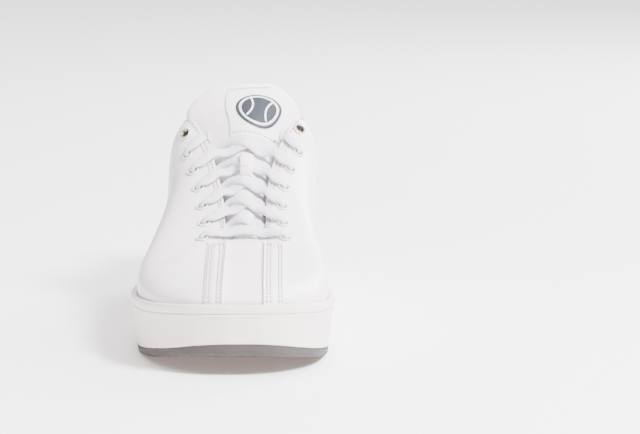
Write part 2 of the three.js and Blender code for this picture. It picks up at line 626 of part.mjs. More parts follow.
// Bisection for the parameter between a and b where f is zero.
function solve(f, a, b) {
  const rising = f(b) > f(a);
  for (let i = 0; i < 40; i += 1) {
    const c = (a + b) / 2;
    if (f(c) > 0 === rising) b = c;
    else a = c;
  }
  return (a + b) / 2;
}

// A level of the lacing: 1 is the first row of eyelets, 1.5 half way to the second, and so on.
const levelY = (level) => lerp(EYELETS[Math.floor(level) - 1][2], EYELETS[Math.floor(level)][2], level % 1);
const sides = {
  outer: { eyes: outerEyes, from: OUTER_SEAM, to: OUTER_TIP },
  inner: { eyes: innerEyes, from: INNER_SEAM, to: INNER_TIP },
};

// The throat's edge on one side at a level, at height v on the skin.
function throatEdge(side, level, v = 1) {
  const y = levelY(level) + 2.5;
  const u = solve((k) => skinPoint(k, 1).y - y, sides[side].from, sides[side].to);
  return skin(u, v);
}

// The tongue's face at a level, at across from -1 to 1.
function tongueAt(level, across) {
  const y = levelY(level) + 3;
  const s = solve((k) => tongue(k, 0).p.y - y, 0, 1);
  return tongue(s, across);
}

const UNDER = -LINED - 0.5 - LACE_THICK / 2; // a lace lying against the lining
const OVER = 0.7 + LACE_THICK / 2; // a lace lying on the upper

// The way through an eyelet: outwards when out is true, else inwards.
function throughEyelet(side, row, out, sign) {
  const eye = sides[side].eyes[row - 1];
  const edge = throatEdge(side, row + 0.05);
  const inward = edge.p.clone().sub(eye.p);
  inward.addScaledVector(eye.n, -inward.dot(eye.n)).normalize();
  const [bunched, thick] = LACE_BUNCHED;
  const facing = out ? sign : -sign;
  const at = (offset, shift, tilt, w = bunched, t = thick) => ({
    p: lifted(eye, offset).addScaledVector(inward, shift),
    n: inward.clone().addScaledVector(eye.n, tilt).normalize().multiplyScalar(facing),
    w,
    t,
  });
  const away = (shift) => ({ p: eye.p.clone().addScaledVector(inward, shift), n: eye.n });
  const way = [
    flat(away(5.5), UNDER - (row === 1 ? 1.2 : 0.3), facing, 5.5),
    at(UNDER - 0.6, 1.6, 0.9, 3.6, 1.8),
    at(-LINED - 0.4, 0.1, 0),
    at(-1.4, 0, 0),
    at(1.4, 0.1, 0),
    at(2.6, 1.5, -1, 3.6, 1.8),
    flat(away(4.8), 2.3, -facing, 5.6),
  ];
  return out ? way : way.reverse();
}

const other = (side) => (side === "outer" ? "inner" : "outer");

// A crossing over the tongue from one side to the other, starting at a row. The two laces of a crossing lie
// one on the other: the one that starts on the inner side is on top. Parts are the levels reached at its
// start, middle and end; then come each lace's heights over the tongue there.
const FIRST_CROSSING = { parts: [0.56, 0.7, 0.86], outer: [1.3, 1.3, 1.4], inner: [1.3, 2.9, 1.7] };
const CROSSING = { parts: [0.36, 0.6, 0.85], outer: [2.9, 1.4, 1.5], inner: [3.7, 3.2, 1.8] };
const KEPT_CROSSING = { parts: [0.36, 0.6, 0.85], outer: [3.2, 2.6, 2], inner: [4, 4.3, 2.4] };

function crossing(side, row, sign) {
  const plan = row === 1 ? FIRST_CROSSING : row === EYELET_ROWS - 2 ? KEPT_CROSSING : CROSSING;
  const dir = side === "inner" ? -1 : 1;
  return plan.parts.map((part, i) => {
    const across = dir * (i === 2 ? 0.3 : 0.33) * (i - 1);
    return flat(tongueAt(row + part, across), plan[side][i], sign, row === 1 ? 5.4 : LACE_WIDTH);
  });
}

// One half of the lace, from the middle of the bar across the first row to the last eyelet it uses.
function halfLace(side) {
  const path = [flat(throatEdge(side, 1.1), OVER + 0.4, 1), ...throughEyelet(side, 1, false, 1)];
  let here = side;
  let sign = -1;
  for (let row = 1; row < EYELET_ROWS - 1; row += 1) {
    const there = other(here);
    if (row === 1) path.push(flat(throatEdge(here, 1.46, 0.97), UNDER - 0.6, sign, 5.4));
    else path.push(flat(throatEdge(here, row + 0.24), OVER + 0.6, sign));
    path.push(...crossing(here, row, sign));
    path.push(flat(throatEdge(there, row + 0.94, 0.975), UNDER - 0.45, sign, row === 1 ? 5.4 : LACE_WIDTH));
    path.push(...throughEyelet(there, row + 1, true, sign));
    sign = -sign;
    here = there;
  }
  path.push(flat(throatEdge(here, EYELET_ROWS - 0.72, 0.985), OVER, sign, 6.4));
  return { path, here, sign };
}

const bar = { ...flat(tongueAt(1.2, 0), 0, 1), p: new THREE.Vector3(4.4, -49.2, 58.8) };
const halves = [halfLace("outer"), halfLace("inner")];
const laced = [...halves[0].path.slice().reverse(), bar, ...halves[1].path];
add("shoelace", ribbon(laced, 2.8), "white_lace");

// The loose ends turn in over the eyestay, run down the wall and lie forward along the sock liner.
function looseEnd({ here, sign }) {
  const edge = throatEdge(here, EYELET_ROWS - 0.72);
  const turn = here === "outer" ? 1 : -1;
  const start = solve((k) => skinPoint(k, 1).y - edge.p.y, sides[here].from, sides[here].to);
  const inward = new THREE.Vector3(turn, 0.15, 0);
  inward.addScaledVector(edge.n, -inward.dot(edge.n)).normalize();
  const over = (shift, offset, tilt) => ({
    p: lifted(edge, offset).addScaledVector(inward, shift),
    n: edge.n.clone().multiplyScalar(tilt).add(inward).normalize().multiplyScalar(sign),
    w: 6,
    t: LACE_THICK,
  });
  // Down the wall: stations from the start, height on the skin, and distance off the lining.
  const wall = [
    [0.12, 0.93, 1.2], [0.25, 0.82, 1.2], [0.4, 0.68, 1.3], [0.45, 0.5, 1.6], [0.4, 0.32, 2],
    [0.25, 0.18, 2.6], [0.1, 0.08, 4],
  ];
  const down = wall.map(([du, v, off]) => flat(skin(start + turn * du, v), UNDER + 0.7 - off, -sign, 6.4));
  const floorAt = (du, inset, rise) => {
    const { x, y } = lipPoint(start - turn * du, inset);
    const p = new THREE.Vector3(x, y, footbedZ(y) + rise);
    return { p, n: new THREE.Vector3(0, 0, sign), w: LACE_WIDTH, t: LACE_THICK };
  };
  const floor = [
    floorAt(0.05, 21, 3), floorAt(0.6, 22.5, 1.6), floorAt(1.5, 23.5, 1.3), floorAt(2.5, 24, 1.3),
    floorAt(3.2, 24, 1.3), floorAt(3.75, 24, 1.5),
  ];
  return [over(2.0, 0.5, 0.6), over(2.3, -1.6, -0.2), over(1.2, -4.2, -1.2), ...down, ...floor];
}

halves.forEach((half) => {
  const path = looseEnd(half);
  add(`lace_tail_${half.here}`, ribbon(path, 6), "white_lace");
  const [a, b] = path.slice(-2).map(({ p }) => p);
  const n = b.clone().sub(a).normalize();
  const tip = new THREE.CylinderGeometry(AGLET_RADIUS, AGLET_RADIUS, AGLET_LENGTH, 8);
  const end = { p: b.clone().setZ(b.z + 0.9), n };
  add(`aglet_${half.here}`, stood(tip, end, GAP + AGLET_LENGTH / 2), "clear_tip");
});

export default shoe;
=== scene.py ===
"""Looks of the court shoe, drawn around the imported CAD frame.

Sizes are in millimetres until a mesh is made. The shoe follows one skin: u runs once round it through
STATIONS, and v climbs from the sole's lip at 0 to the top line at 1. Below the lip, down to -1, it tucks
into the sole.
"""

import json
import math

import bpy
import numpy as np
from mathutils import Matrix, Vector, kdtree

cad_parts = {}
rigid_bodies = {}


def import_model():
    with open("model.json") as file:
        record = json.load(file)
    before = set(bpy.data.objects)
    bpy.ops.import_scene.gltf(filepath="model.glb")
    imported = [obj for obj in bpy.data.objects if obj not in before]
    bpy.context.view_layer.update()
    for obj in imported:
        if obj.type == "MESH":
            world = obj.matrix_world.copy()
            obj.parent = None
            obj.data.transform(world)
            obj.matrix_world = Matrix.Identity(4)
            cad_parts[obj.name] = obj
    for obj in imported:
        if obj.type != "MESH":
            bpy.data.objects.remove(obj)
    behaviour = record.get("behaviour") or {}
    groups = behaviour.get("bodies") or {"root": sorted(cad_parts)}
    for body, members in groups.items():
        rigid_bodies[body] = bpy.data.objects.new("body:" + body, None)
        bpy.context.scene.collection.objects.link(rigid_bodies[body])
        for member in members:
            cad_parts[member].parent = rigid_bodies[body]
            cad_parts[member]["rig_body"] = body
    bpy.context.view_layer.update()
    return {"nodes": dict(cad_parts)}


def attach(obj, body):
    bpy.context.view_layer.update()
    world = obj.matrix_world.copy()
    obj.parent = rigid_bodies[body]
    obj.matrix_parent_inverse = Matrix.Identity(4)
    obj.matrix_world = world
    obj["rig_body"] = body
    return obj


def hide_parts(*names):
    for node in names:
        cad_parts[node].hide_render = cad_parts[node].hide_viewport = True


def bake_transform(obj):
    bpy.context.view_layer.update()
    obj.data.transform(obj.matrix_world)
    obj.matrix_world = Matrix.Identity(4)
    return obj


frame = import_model()

MM = 0.001

# ---- Camera, floor and light ----

FOCAL = 157.5
EYE = (0.043, -1.494, 0.2905)
PITCH_DOWN = 8.85


def studio():
    """A long lens in front of the toe, a white world, and light from large soft boxes."""
    camera = bpy.data.objects.new("camera", bpy.data.cameras.new("camera"))
    camera.data.lens = FOCAL
    camera.data.sensor_width = 36
    camera.location = EYE
    camera.rotation_euler = (math.radians(90 - PITCH_DOWN), 0, 0)
    bpy.context.scene.collection.objects.link(camera)
    bpy.context.scene.camera = camera

    world = bpy.data.worlds.new("white_room")
    world.use_nodes = True
    world.node_tree.nodes["Background"].inputs["Color"].default_value = (1, 1, 1, 1)
    world.node_tree.nodes["Background"].inputs["Strength"].default_value = 0.3
    bpy.context.scene.world = world

    boxes = [  # place, what it points at, size and power
        ("ceiling", (0.7, 1.2, 2.4), (0.7, 1.2, 0), 7.0, 330),
        ("key", (0.8, -0.75, 1.15), (0, 0, 0.06), 0.4, 92),
        ("rear", (0.9, 1.2, 0.9), (0, 0, 0.06), 0.7, 50),
    ]
    for name, place, aim, size, power in boxes:
        lamp = bpy.data.objects.new(name, bpy.data.lights.new(name, "AREA"))
        lamp.data.size = size
        lamp.data.energy = power
        lamp.location = place
        lamp.rotation_euler = (Vector(aim) - lamp.location).to_track_quat("-Z", "Y").to_euler()
        bpy.context.scene.collection.objects.link(lamp)


# ---- Materials ----


def colour(code):
    """A linear colour from an sRGB hex value."""
    parts = [int(code[i : i + 2], 16) / 255 for i in (1, 3, 5)]
    return (*[c / 12.92 if c <= 0.04045 else ((c + 0.055) / 1.055) ** 2.4 for c in parts], 1)


def add(tree, kind, sockets=None, **settings):
    """A node with its settings, and its sockets set to values or linked to other nodes' outputs."""
    made = tree.nodes.new(kind)
    for name, value in settings.items():
        setattr(made, name, value)
    for name, value in (sockets or {}).items():
        if isinstance(value, bpy.types.NodeSocket):
            tree.links.new(value, made.inputs[name])
        else:
            made.inputs[name].default_value = value
    return made


def start(name):
    """An empty material, with its shader and its object coordinates in metres."""
    material = bpy.data.materials.new(name)
    material.use_nodes = True
    tree = material.node_tree
    tree.nodes.clear()
    shader = add(tree, "ShaderNodeBsdfPrincipled")
    add(tree, "ShaderNodeOutputMaterial", {"Surface": shader.outputs["BSDF"]})
    return material, tree, shader, add(tree, "ShaderNodeTexCoord").outputs["Object"]


def per_mm(size):
    """The texture scale that gives a pattern of this size in millimetres."""
    return 1 / (size * MM)


def waves(size):
    """The same for the bands of a wave texture, which fit 6.28 to a unit."""
    return per_mm(size) / 6.28


def dressed(tree, shader, tint, bumps, constants, rough=None):
    """Gives a shader its colour, relief and roughness from textures, and sets its other sockets.

    tint and rough are a texture's value and what it runs between. Each bump is a texture's value and a height
    in millimetres, and the bumps are stacked on each other.
    """
    source, low, high = tint
    mix = add(tree, "ShaderNodeMix", {"Factor": source}, data_type="RGBA")
    mix.inputs[6].default_value = colour(low)
    mix.inputs[7].default_value = colour(high)
    tree.links.new(mix.outputs[2], shader.inputs["Base Color"])
    if rough:
        source, low, high = rough
        span = add(tree, "ShaderNodeMapRange", {"Value": source, "To Min": low, "To Max": high})
        tree.links.new(span.outputs["Result"], shader.inputs["Roughness"])
    normal = None
    for source, height in bumps:
        sockets = {"Height": source, "Distance": height * MM, "Strength": 1}
        if normal:
            sockets["Normal"] = normal
        normal = add(tree, "ShaderNodeBump", sockets).outputs["Normal"]
    tree.links.new(normal, shader.inputs["Normal"])
    for name, value in constants.items():
        shader.inputs[name].default_value = value


def finished_leather(name="finished_leather", pale="#fdf4f9", shade="#f4e7ed", grain=0.9):
    """Corrected-grain cowhide, sprayed white and plated: shallow pebbles, a soft sheen, faint cloudiness."""
    material, tree, shader, place = start(name)
    settings = {"Vector": place, "Scale": per_mm(34), "Detail": 3}
    cloud = add(tree, "ShaderNodeTexNoise", settings).outputs["Fac"]
    pebble = add(tree, "ShaderNodeTexVoronoi", {"Vector": place, "Scale": per_mm(grain)}, feature="SMOOTH_F1")
    pore = add(tree, "ShaderNodeTexNoise", {"Vector": place, "Scale": per_mm(0.5), "Detail": 2})
    bumps = [(pebble.outputs["Distance"], 0.05), (pore.outputs["Fac"], 0.025), (cloud, 0.35)]
    dressed(tree, shader, (cloud, pale, shade), bumps, {"Coat Weight": 0.12, "Coat Roughness": 0.35},
            (cloud, 0.38, 0.5))
    return material


def moulded_rubber(name, pale, shade, roughness, grit=0.35):
    """Vulcanised rubber from a blasted mould: an even, dull skin with a fine grit."""
    material, tree, shader, place = start(name)
    settings = {"Vector": place, "Scale": per_mm(40), "Detail": 4}
    cloud = add(tree, "ShaderNodeTexNoise", settings).outputs["Fac"]
    settings = {"Vector": place, "Scale": per_mm(grit), "Detail": 1}
    fine = add(tree, "ShaderNodeTexNoise", settings).outputs["Fac"]
    dressed(tree, shader, (cloud, pale, shade), [(fine, 0.035), (cloud, 0.25)], {"Specular IOR Level": 0.35},
            (cloud, roughness - 0.06, roughness + 0.06))
    return material


def knitted_lining():
    """Brushed polyester knit, piece-dyed blue: ribs of loops under a short nap.

    The loops are 1.1 mm apart, coarser than in a real lining, so that they show.
    """
    material, tree, shader, place = start("knitted_lining")
    settings = {"Vector": place, "Scale": waves(1.1), "Distortion": 1.2, "Detail": 2}
    across = add(tree, "ShaderNodeTexWave", settings, bands_direction="Y").outputs["Fac"]
    upward = add(tree, "ShaderNodeTexWave", settings, bands_direction="Z").outputs["Fac"]
    loops = add(tree, "ShaderNodeMath", {0: across, 1: upward}, operation="MULTIPLY").outputs[0]
    settings = {"Vector": place, "Scale": per_mm(5), "Detail": 6, "Roughness": 0.7}
    nap = add(tree, "ShaderNodeTexNoise", settings)
    # Painted shade: the colour runs from a shaded blue in the hollows between the loops to a lit blue on their
    # tops, mottled by the nap's random tone.
    loop_shade_and_nap = add(tree, "ShaderNodeMath", {0: loops, 1: nap.outputs["Fac"]}, operation="MULTIPLY")
    dressed(tree, shader, (loop_shade_and_nap.outputs[0], "#37405f", "#6a7393"), [(loops, 0.25), (nap.outputs["Fac"], 0.2)],
            {"Roughness": 0.93, "Sheen Weight": 0.35, "Sheen Roughness": 0.4})
    return material


def braid(pitch=1.5):
    """Tubular polyester braid: herringbone plaits that meet along the middle, matt and bright."""
    material, tree, shader, place = start("braided_lace")
    strand = add(tree, "ShaderNodeAttribute", attribute_name="strand").outputs["Vector"]
    parts = add(tree, "ShaderNodeSeparateXYZ", {"Vector": strand})
    side = add(tree, "ShaderNodeMath", {0: parts.outputs["Y"]}, operation="ABSOLUTE").outputs[0]
    slant = add(tree, "ShaderNodeMath", {0: parts.outputs["X"], 1: side}, operation="ADD").outputs[0]
    round_plait = 2 * math.pi * per_mm(pitch)
    turned = add(tree, "ShaderNodeMath", {0: slant, 1: round_plait}, operation="MULTIPLY").outputs[0]
    wave = add(tree, "ShaderNodeMath", {0: turned}, operation="SINE").outputs[0]
    plait = add(tree, "ShaderNodeMapRange", {"Value": wave, "From Min": -1}).outputs[0]
    settings = {"Vector": place, "Scale": per_mm(0.6), "Detail": 3}
    fibre = add(tree, "ShaderNodeTexNoise", settings).outputs["Fac"]
    # Painted shade: darker in the grooves between the plaits and white on their crowns, mottled by the fibre's
    # random tone.
    plait_shade_and_fibre = add(tree, "ShaderNodeMath", {0: plait, 1: fibre}, operation="MULTIPLY").outputs[0]
    dressed(tree, shader, (plait_shade_and_fibre, "#dcdbe6", "#ffffff"), [(plait, 0.16), (fibre, 0.1)],
            {"Roughness": 0.88, "Sheen Weight": 0.2})
    return material


def sewing_thread():
    """Bonded nylon thread, twisted from three plies: satin white, painted grey as shade along the stitches and
    darker between the plies.
    """
    material, tree, shader, place = start("sewing_thread")
    settings = {"Vector": place, "Scale": waves(0.7), "Distortion": 2}
    twist_and_shade = add(tree, "ShaderNodeTexWave", settings, bands_direction="DIAGONAL").outputs["Fac"]
    # Painted shade: the white thread is coloured grey, darkest in the grooves between the plies.
    dressed(tree, shader, (twist_and_shade, "#8f8a99", "#c3bfcb"), [(twist_and_shade, 0.06)], {"Roughness": 0.6})
    return material


def plated(name, pale, shade, roughness):
    """Brass stamping, nickel plated and worn: pale metal with duller patches."""
    material, tree, shader, place = start(name)
    settings = {"Vector": place, "Scale": per_mm(2.5), "Detail": 5}
    wear = add(tree, "ShaderNodeTexNoise", settings).outputs["Fac"]
    dressed(tree, shader, (wear, pale, shade), [(wear, 0.03)], {"Metallic": 1},
            (wear, roughness, roughness + 0.25))
    return material


def white_enamel():
    """Stove enamel on a brass eyelet: smooth, glossy white with a trace of orange peel."""
    material, tree, shader, place = start("white_enamel")
    settings = {"Vector": place, "Scale": per_mm(0.9), "Detail": 1}
    peel = add(tree, "ShaderNodeTexNoise", settings).outputs["Fac"]
    dressed(tree, shader, (peel, "#f7f4f6", "#ebe7ea"), [(peel, 0.02)], {"Roughness": 0.3})
    return material


def woven_label(name, pale, shade):
    """Damask-woven polyester: weft threads 0.45 mm apart with a satin glint."""
    material, tree, shader, place = start(name)
    settings = {"Vector": place, "Scale": waves(0.45), "Distortion": 0.6}
    weft_and_shade = add(tree, "ShaderNodeTexWave", settings, bands_direction="Z").outputs["Fac"]
    # Painted shade: darker in the grooves between the weft threads and paler on the threads.
    dressed(tree, shader, (weft_and_shade, shade, pale), [(weft_and_shade, 0.06)], {"Roughness": 0.5, "Sheen Weight": 0.3})
    return material


def clear_film():
    """Acetate film rolled round the lace's end: glossy, nearly clear, with a lengthwise wrinkle."""
    material, tree, shader, place = start("acetate_tip")
    settings = {"Vector": place, "Scale": per_mm(3), "Detail": 2}
    wrinkle = add(tree, "ShaderNodeTexNoise", settings).outputs["Fac"]
    dressed(tree, shader, (wrinkle, "#f2f4f9", "#d3d8e2"), [(wrinkle, 0.08)],
            {"Roughness": 0.12, "Transmission Weight": 0.35})
    return material


def felted(name, pale, shade, fibre=1.2):
    """Pressed fibre or open foam inside the shoe: matt, with a random short-fibre mottle."""
    material, tree, shader, place = start(name)
    settings = {"Vector": place, "Scale": per_mm(fibre), "Detail": 5}
    mottle = add(tree, "ShaderNodeTexNoise", settings).outputs["Fac"]
    dressed(tree, shader, (mottle, pale, shade), [(mottle, 0.15)], {"Roughness": 0.95})
    return material


def paper_sweep():
    """Matt white background paper on a light table, so that a little light comes up through it."""
    material, tree, shader, _ = start("paper_sweep")
    shader.inputs["Base Color"].default_value = colour("#fdfdfd")
    shader.inputs["Roughness"].default_value = 0.9
    shader.inputs["Specular IOR Level"].default_value = 0.1
    shader.inputs["Emission Color"].default_value = colour("#ffe6dd")
    shader.inputs["Emission Strength"].default_value = 0.35
    return material


LEATHER = finished_leather()
LABEL_LEATHER = finished_leather("label_leather", "#fdf8fb", "#f6eff3", 0.6)
CUP_RUBBER = moulded_rubber("white_cup_rubber", "#f7e9ea", "#eddcdd", 0.5)
GREY_RUBBER = moulded_rubber("grey_tread_rubber", "#4b4645", "#403c3b", 0.66)
MARK_RUBBER = moulded_rubber("grey_mark_rubber", "#5b5657", "#4f4a4b", 0.5, 0.3)
EMBLEM_RUBBER = moulded_rubber("slate_emblem_rubber", "#31343e", "#2a2d36", 0.42, 0.3)
EMBLEM_WHITE = moulded_rubber("white_emblem_rubber", "#f7f6f8", "#ecebef", 0.4, 0.3)
LINING = knitted_lining()
LACE = braid()
THREAD = sewing_thread()
NICKEL = plated("worn_nickel", "#c6c0b6", "#7f786d", 0.22)
ENAMEL = white_enamel()
# The darker colour of each woven label is painted shade between its weft threads.
WOVEN = woven_label("woven_label", "#c9cede", "#8f97b3")
WOVEN_EDGE = woven_label("woven_label_edge", "#44506f", "#333d5a")
TIP = clear_film()
FOAM = felted("open_cell_foam", "#efe9dc", "#ddd5c4")
BOARD = felted("fibre_board", "#d8cbb0", "#c2b394")
STIFFENER = felted("stiffened_textile", "#e4ddd0", "#cfc6b6")

# ---- Driving dimensions, as in the CAD ----

GAP = 0.3
WALL = 3.4
LINED = 4.0  # leather, backing and lining together
PAD = 5.0  # most foam behind the collar
TUCK = 6.0  # how far the upper reaches below the footbed's surface
OUTSOLE = 4.1
CUP_FLOOR = 3.2
SPRING_START, SPRING_LENGTH, SPRING_HEIGHT = -80, 62, 10.6
TOE_BUMPER = 1.5
EYE_BORE, DRILL_REACH = 2.7, 13  # radius of the eyelets' holes, and how far the drill reaches either way
LEATHER_THICK, LINING_THICK = 1.4, 0.8
SEAM_GAP = 0.02  # stations between two panels that meet edge to edge
LINING_TOP = 0.98  # the height on the skin where the foam and the lining end

# Each station: lip x, y, the first handle's rise and lean, the second handle x, y, z, and the top x, y, z.
STATIONS = np.array([
    [5, -147, 13, 3, 4.7, -88, 48, 4.5, -53, 54.8],
    [-7.5, -146.3, 13, 3, -6.4, -88, 47.5, -5.5, -52.5, 54.5],
    [-25, -139.5, 14, 2.5, -17, -66, 46.5, -6.3, -45, 57.2],
    [-42.5, -119.5, 16, 2.5, -22, -64, 46, -7, -36, 61.8],
    [-52.5, -90, 19, 3, -28, -58, 45.5, -8.2, -25, 68],
    [-55, -60, 22, 3.2, -32, -36, 54.5, -10, -12, 75.4],
    [-52, -26, 26, 2, -35.5, -12, 69.5, -13, 3, 84],
    [-47, 10, 32, 0.5, -38.5, 14, 84, -18.5, 23, 96.5],
    [-43, 44, 36, 1, -45, 40, 93, -30, 41, 106.5],
    [-41.3, 74, 22, 2.5, -42, 64, 66, -34.5, 63, 77],
    [-39.5, 100, 22, 3.5, -39.5, 90, 66, -33.5, 90, 79],
    [-32, 127, 26, 4, -30, 119, 74, -26, 116, 88],
    [-12.5, 145.8, 30, 4, -12.8, 141, 84, -12, 134, 98],
    [0, 148, 30, 4, 0, 143.5, 85, 0, 137, 100],
    [12.5, 145.4, 30, 4, 12.8, 140.6, 84, 12, 133.6, 98],
    [30.5, 127, 26, 4, 31, 119, 74, 26, 116, 88],
    [38, 100, 22, 3.5, 41, 90, 66, 33.3, 90, 79],
    [38.3, 74, 22, 4.5, 47, 64, 66, 34.5, 63, 77.5],
    [37.5, 44, 36, 4.5, 48.5, 40, 94, 32, 40.5, 107.5],
    [39.5, 10, 32, 4.5, 45, 14, 83, 22.5, 23, 97],
    [43.5, -26, 26, 4, 41, -12, 68.5, 17, 3, 84.4],
    [49, -60, 22, 4.2, 38, -36, 53.5, 15.3, -12, 75.4],
    [50.5, -90, 19, 4, 34, -58, 45.5, 14.8, -25, 68],
    [45.5, -119.5, 16, 2.5, 28, -64, 46, 14.5, -36, 61.8],
    [33, -137.5, 14, 2.5, 25, -66, 46.5, 14.4, -45, 57.2],
    [18, -145.8, 13, 3, 16.6, -88, 47.5, 14.5, -52.5, 54.5],
], float)
LAPS = len(STATIONS)
OUTER_SEAM, OUTER_TIP, HEEL, INNER_TIP, INNER_SEAM = 1, 8, 13, 18, 25
LIP_LINE = [(-148, 37.4), (-120, 33.6), (-90, 31), (-60, 29.8), (0, 28.8), (60, 29.6), (110, 30.4),
            (148, 29.6)]
FOOTBED_LINE = [(-148, 29.5), (-120, 24.4), (-90, 21.2), (-60, 20), (-20, 20.8), (20, 23), (50, 24), (70, 24),
                (110, 24), (148, 24)]
# Each row of eyelets: the outer one's x, the inner one's x, and y.
EYELETS = [(-18.5, 25.2, -53), (-18, 23.6, -37.5), (-19.6, 22.9, -22.8), (-22.2, 23.8, -8.3),
           (-25.5, 27, 5.8), (-29.2, 31.2, 20.3), (-30.5, 31.8, 31)]
EYELET_ROWS = len(EYELETS)
# The tongue's middle line: x, y, z, half width, tilt and half angle in degrees, and bulge.
TONGUE = np.array([
    [4.5, -68, 43, 14, 0, 20, 0], [4.4, -52, 47.6, 15.5, 0, 24, 0], [3.7, -36, 55.8, 18, 0, 30, 5.3],
    [2.7, -14, 67.5, 21.5, 0, 34, 6.8], [1.9, 6, 79.2, 25, 2, 36, 6.8], [1.9, 23, 90, 26, 4, 38, 6],
    [2, 36.5, 102.3, 28, 6, 38, 3.5], [1, 46.5, 113, 33.2, 6, 32, 1], [0, 52.5, 120, 28.5, 9, 26, 0],
    [-1, 56, 124.6, 19.5, 12, 16, 0],
], float)

# ---- Curves and the skin ----


def unit(v):
    return v / np.linalg.norm(v, axis=-1, keepdims=True)


def lerp(a, b, t):
    return a + (b - a) * t


def turns(count):
    """Even angles round a full turn."""
    return np.linspace(0, 2 * np.pi, count + 1)[:-1]


def squared(wave, power):
    """A sine or cosine pushed towards a square's corners by a power below 1."""
    return np.sign(wave) * np.abs(wave) ** power


def run_along(points):
    """How far along a line each of its points lies."""
    return np.concatenate([[0], np.cumsum(np.linalg.norm(np.diff(points, axis=0), axis=1))])


def smooth(x, low, high):
    """0 below low, 1 above high, and an even S between them."""
    t = np.clip((np.asarray(x, float) - low) / (high - low), 0, 1)
    return t * t * (3 - 2 * t)


def along(rows, u, closed=True):
    """The row of numbers at u on a Catmull-Rom curve through rows."""
    n = len(rows)
    u = np.asarray(u, float)
    i = np.floor(u if closed else np.clip(u, 0, n - 1.000001)).astype(int)
    a, b, c, d = (rows[(i + k) % n if closed else np.clip(i + k, 0, n - 1)] for k in (-1, 0, 1, 2))
    t = (u - i)[..., None]
    return b + 0.5 * t * (c - a + t * (2 * a - 5 * b + 4 * c - d + t * (3 * (b - c) + d - a)))


def height_at(line, y):
    """Height at y on a line of (y, z) points, smooth through them."""
    ys, zs = (np.array(x, float) for x in zip(*line))
    low, high = np.maximum(np.arange(len(ys)) - 1, 0), np.minimum(np.arange(len(ys)) + 1, len(ys) - 1)
    slope = (zs[high] - zs[low]) / (ys[high] - ys[low])
    y = np.asarray(y, float)
    i = np.clip(np.searchsorted(ys, y) - 1, 0, len(ys) - 2)
    span = ys[i + 1] - ys[i]
    t = np.clip((y - ys[i]) / span, 0, 1)
    m0, m1, rise = slope[i] * span, slope[i + 1] * span, zs[i + 1] - zs[i]
    return zs[i] + t * (m0 + t * (3 * rise - 2 * m0 - m1 + t * (m0 + m1 - 2 * rise)))


def ground_z(y):
    """The tread's underside, which lifts from the ground forward of the spring's start."""
    return SPRING_HEIGHT * (np.maximum(0, SPRING_START - np.asarray(y, float)) / SPRING_LENGTH) ** 1.4


def tread_z(y):
    """The tread's upper side, thicker at the toe."""
    return ground_z(y) + OUTSOLE + TOE_BUMPER * np.clip((-122 - np.asarray(y, float)) / 22, 0, 1) ** 2


def lip_z(y):
    return height_at(LIP_LINE, y)


def footbed_z(y):
    return height_at(FOOTBED_LINE, y)


def lip_point(u, inset):
    """A point of the lip seen from above, moved inwards, with its outward direction and station row."""
    before, row, after = (along(STATIONS, u + k) for k in (-0.02, 0, 0.02))
    tangent = unit((after - before)[..., :2])
    out = np.stack([-tangent[..., 1], tangent[..., 0]], -1)
    return row[..., :2] - out * np.asarray(inset)[..., None], out, row


def skin_point(u, v):
    """A point of the skin: a Bezier curve from the lip to the top line, and the tuck below the lip."""
    u, v = np.broadcast_arrays(np.asarray(u, float), np.asarray(v, float))
    xy, out, row = lip_point(u, WALL + GAP)
    z = lip_z(xy[..., 1])
    foot = np.concatenate([xy, z[..., None]], -1)
    handle = foot + np.concatenate([out * row[..., 3:4], row[..., 2:3]], -1)
    t = np.clip(v, 0, 1)[..., None]
    weights = ((1 - t) ** 3, 3 * t * (1 - t) ** 2, 3 * t * t * (1 - t), t**3)
    p = sum(w * q for w, q in zip(weights, (foot, handle, row[..., 4:7], row[..., 7:10])))
    p[..., 2] -= np.clip(-v, 0, 1) * (z - footbed_z(xy[..., 1]) + TUCK)
    return p


def skin(u, v, step=0.01):
    """The skin's point and outward direction."""
    du = skin_point(u + step, v) - skin_point(np.asarray(u) - step, v)
    dv = skin_point(u, np.minimum(v + step, 1)) - skin_point(u, np.maximum(np.asarray(v) - step, -1))
    return skin_point(u, v), unit(np.cross(dv, du))


def find_on_skin(x, y, u, v):
    """Where the skin's upper side passes over the point (x, y) seen from above, from a first guess."""
    u, v = (np.array(k, float) for k in np.broadcast_arrays(u, v, x)[:2])
    for _ in range(30):
        p = skin_point(u, v)
        ex, ey = x - p[..., 0], y - p[..., 1]
        a = (skin_point(u + 0.01, v) - p) * 100
        b = (skin_point(u, np.maximum(v - 0.01, 0)) - p) * -100
        det = a[..., 0] * b[..., 1] - a[..., 1] * b[..., 0]
        u = u + np.clip((ex * b[..., 1] - ey * b[..., 0]) / det, -0.5, 0.5)
        v = np.clip(v + np.clip((a[..., 0] * ey - a[..., 1] * ex) / det, -0.2, 0.2), 0.02, 1)
    return u, v


def pad_at(u, v):
    """Foam behind the collar."""
    down = np.clip((v - 0.48) / 0.52, 0, 1)
    return PAD * smooth(np.minimum(u - OUTER_TIP, INNER_TIP - u), 0, 1.2) * np.sin(np.pi * down)


def below_top(u, depth):
    """The v that lies this far below the top line, measured on the skin."""
    row = along(STATIONS, u)
    return 1 - depth / (3 * np.linalg.norm(row[..., 7:10] - row[..., 4:7], axis=-1))


def tongue_axes(s):
    """The tongue's row of numbers at s, and the directions across it and out of it."""
    k = np.asarray(s, float) * (len(TONGUE) - 1)
    row, before, after = (along(TONGUE, k + d, False) for d in (0, -0.05, 0.05))
    forward = unit((after - before)[..., :3])
    tilt = np.radians(row[..., 4])
    side = np.stack([np.cos(tilt), np.zeros_like(tilt), -np.sin(tilt)], -1)
    side = unit(side - forward * np.sum(side * forward, -1, keepdims=True))
    return row, side, np.cross(side, forward)


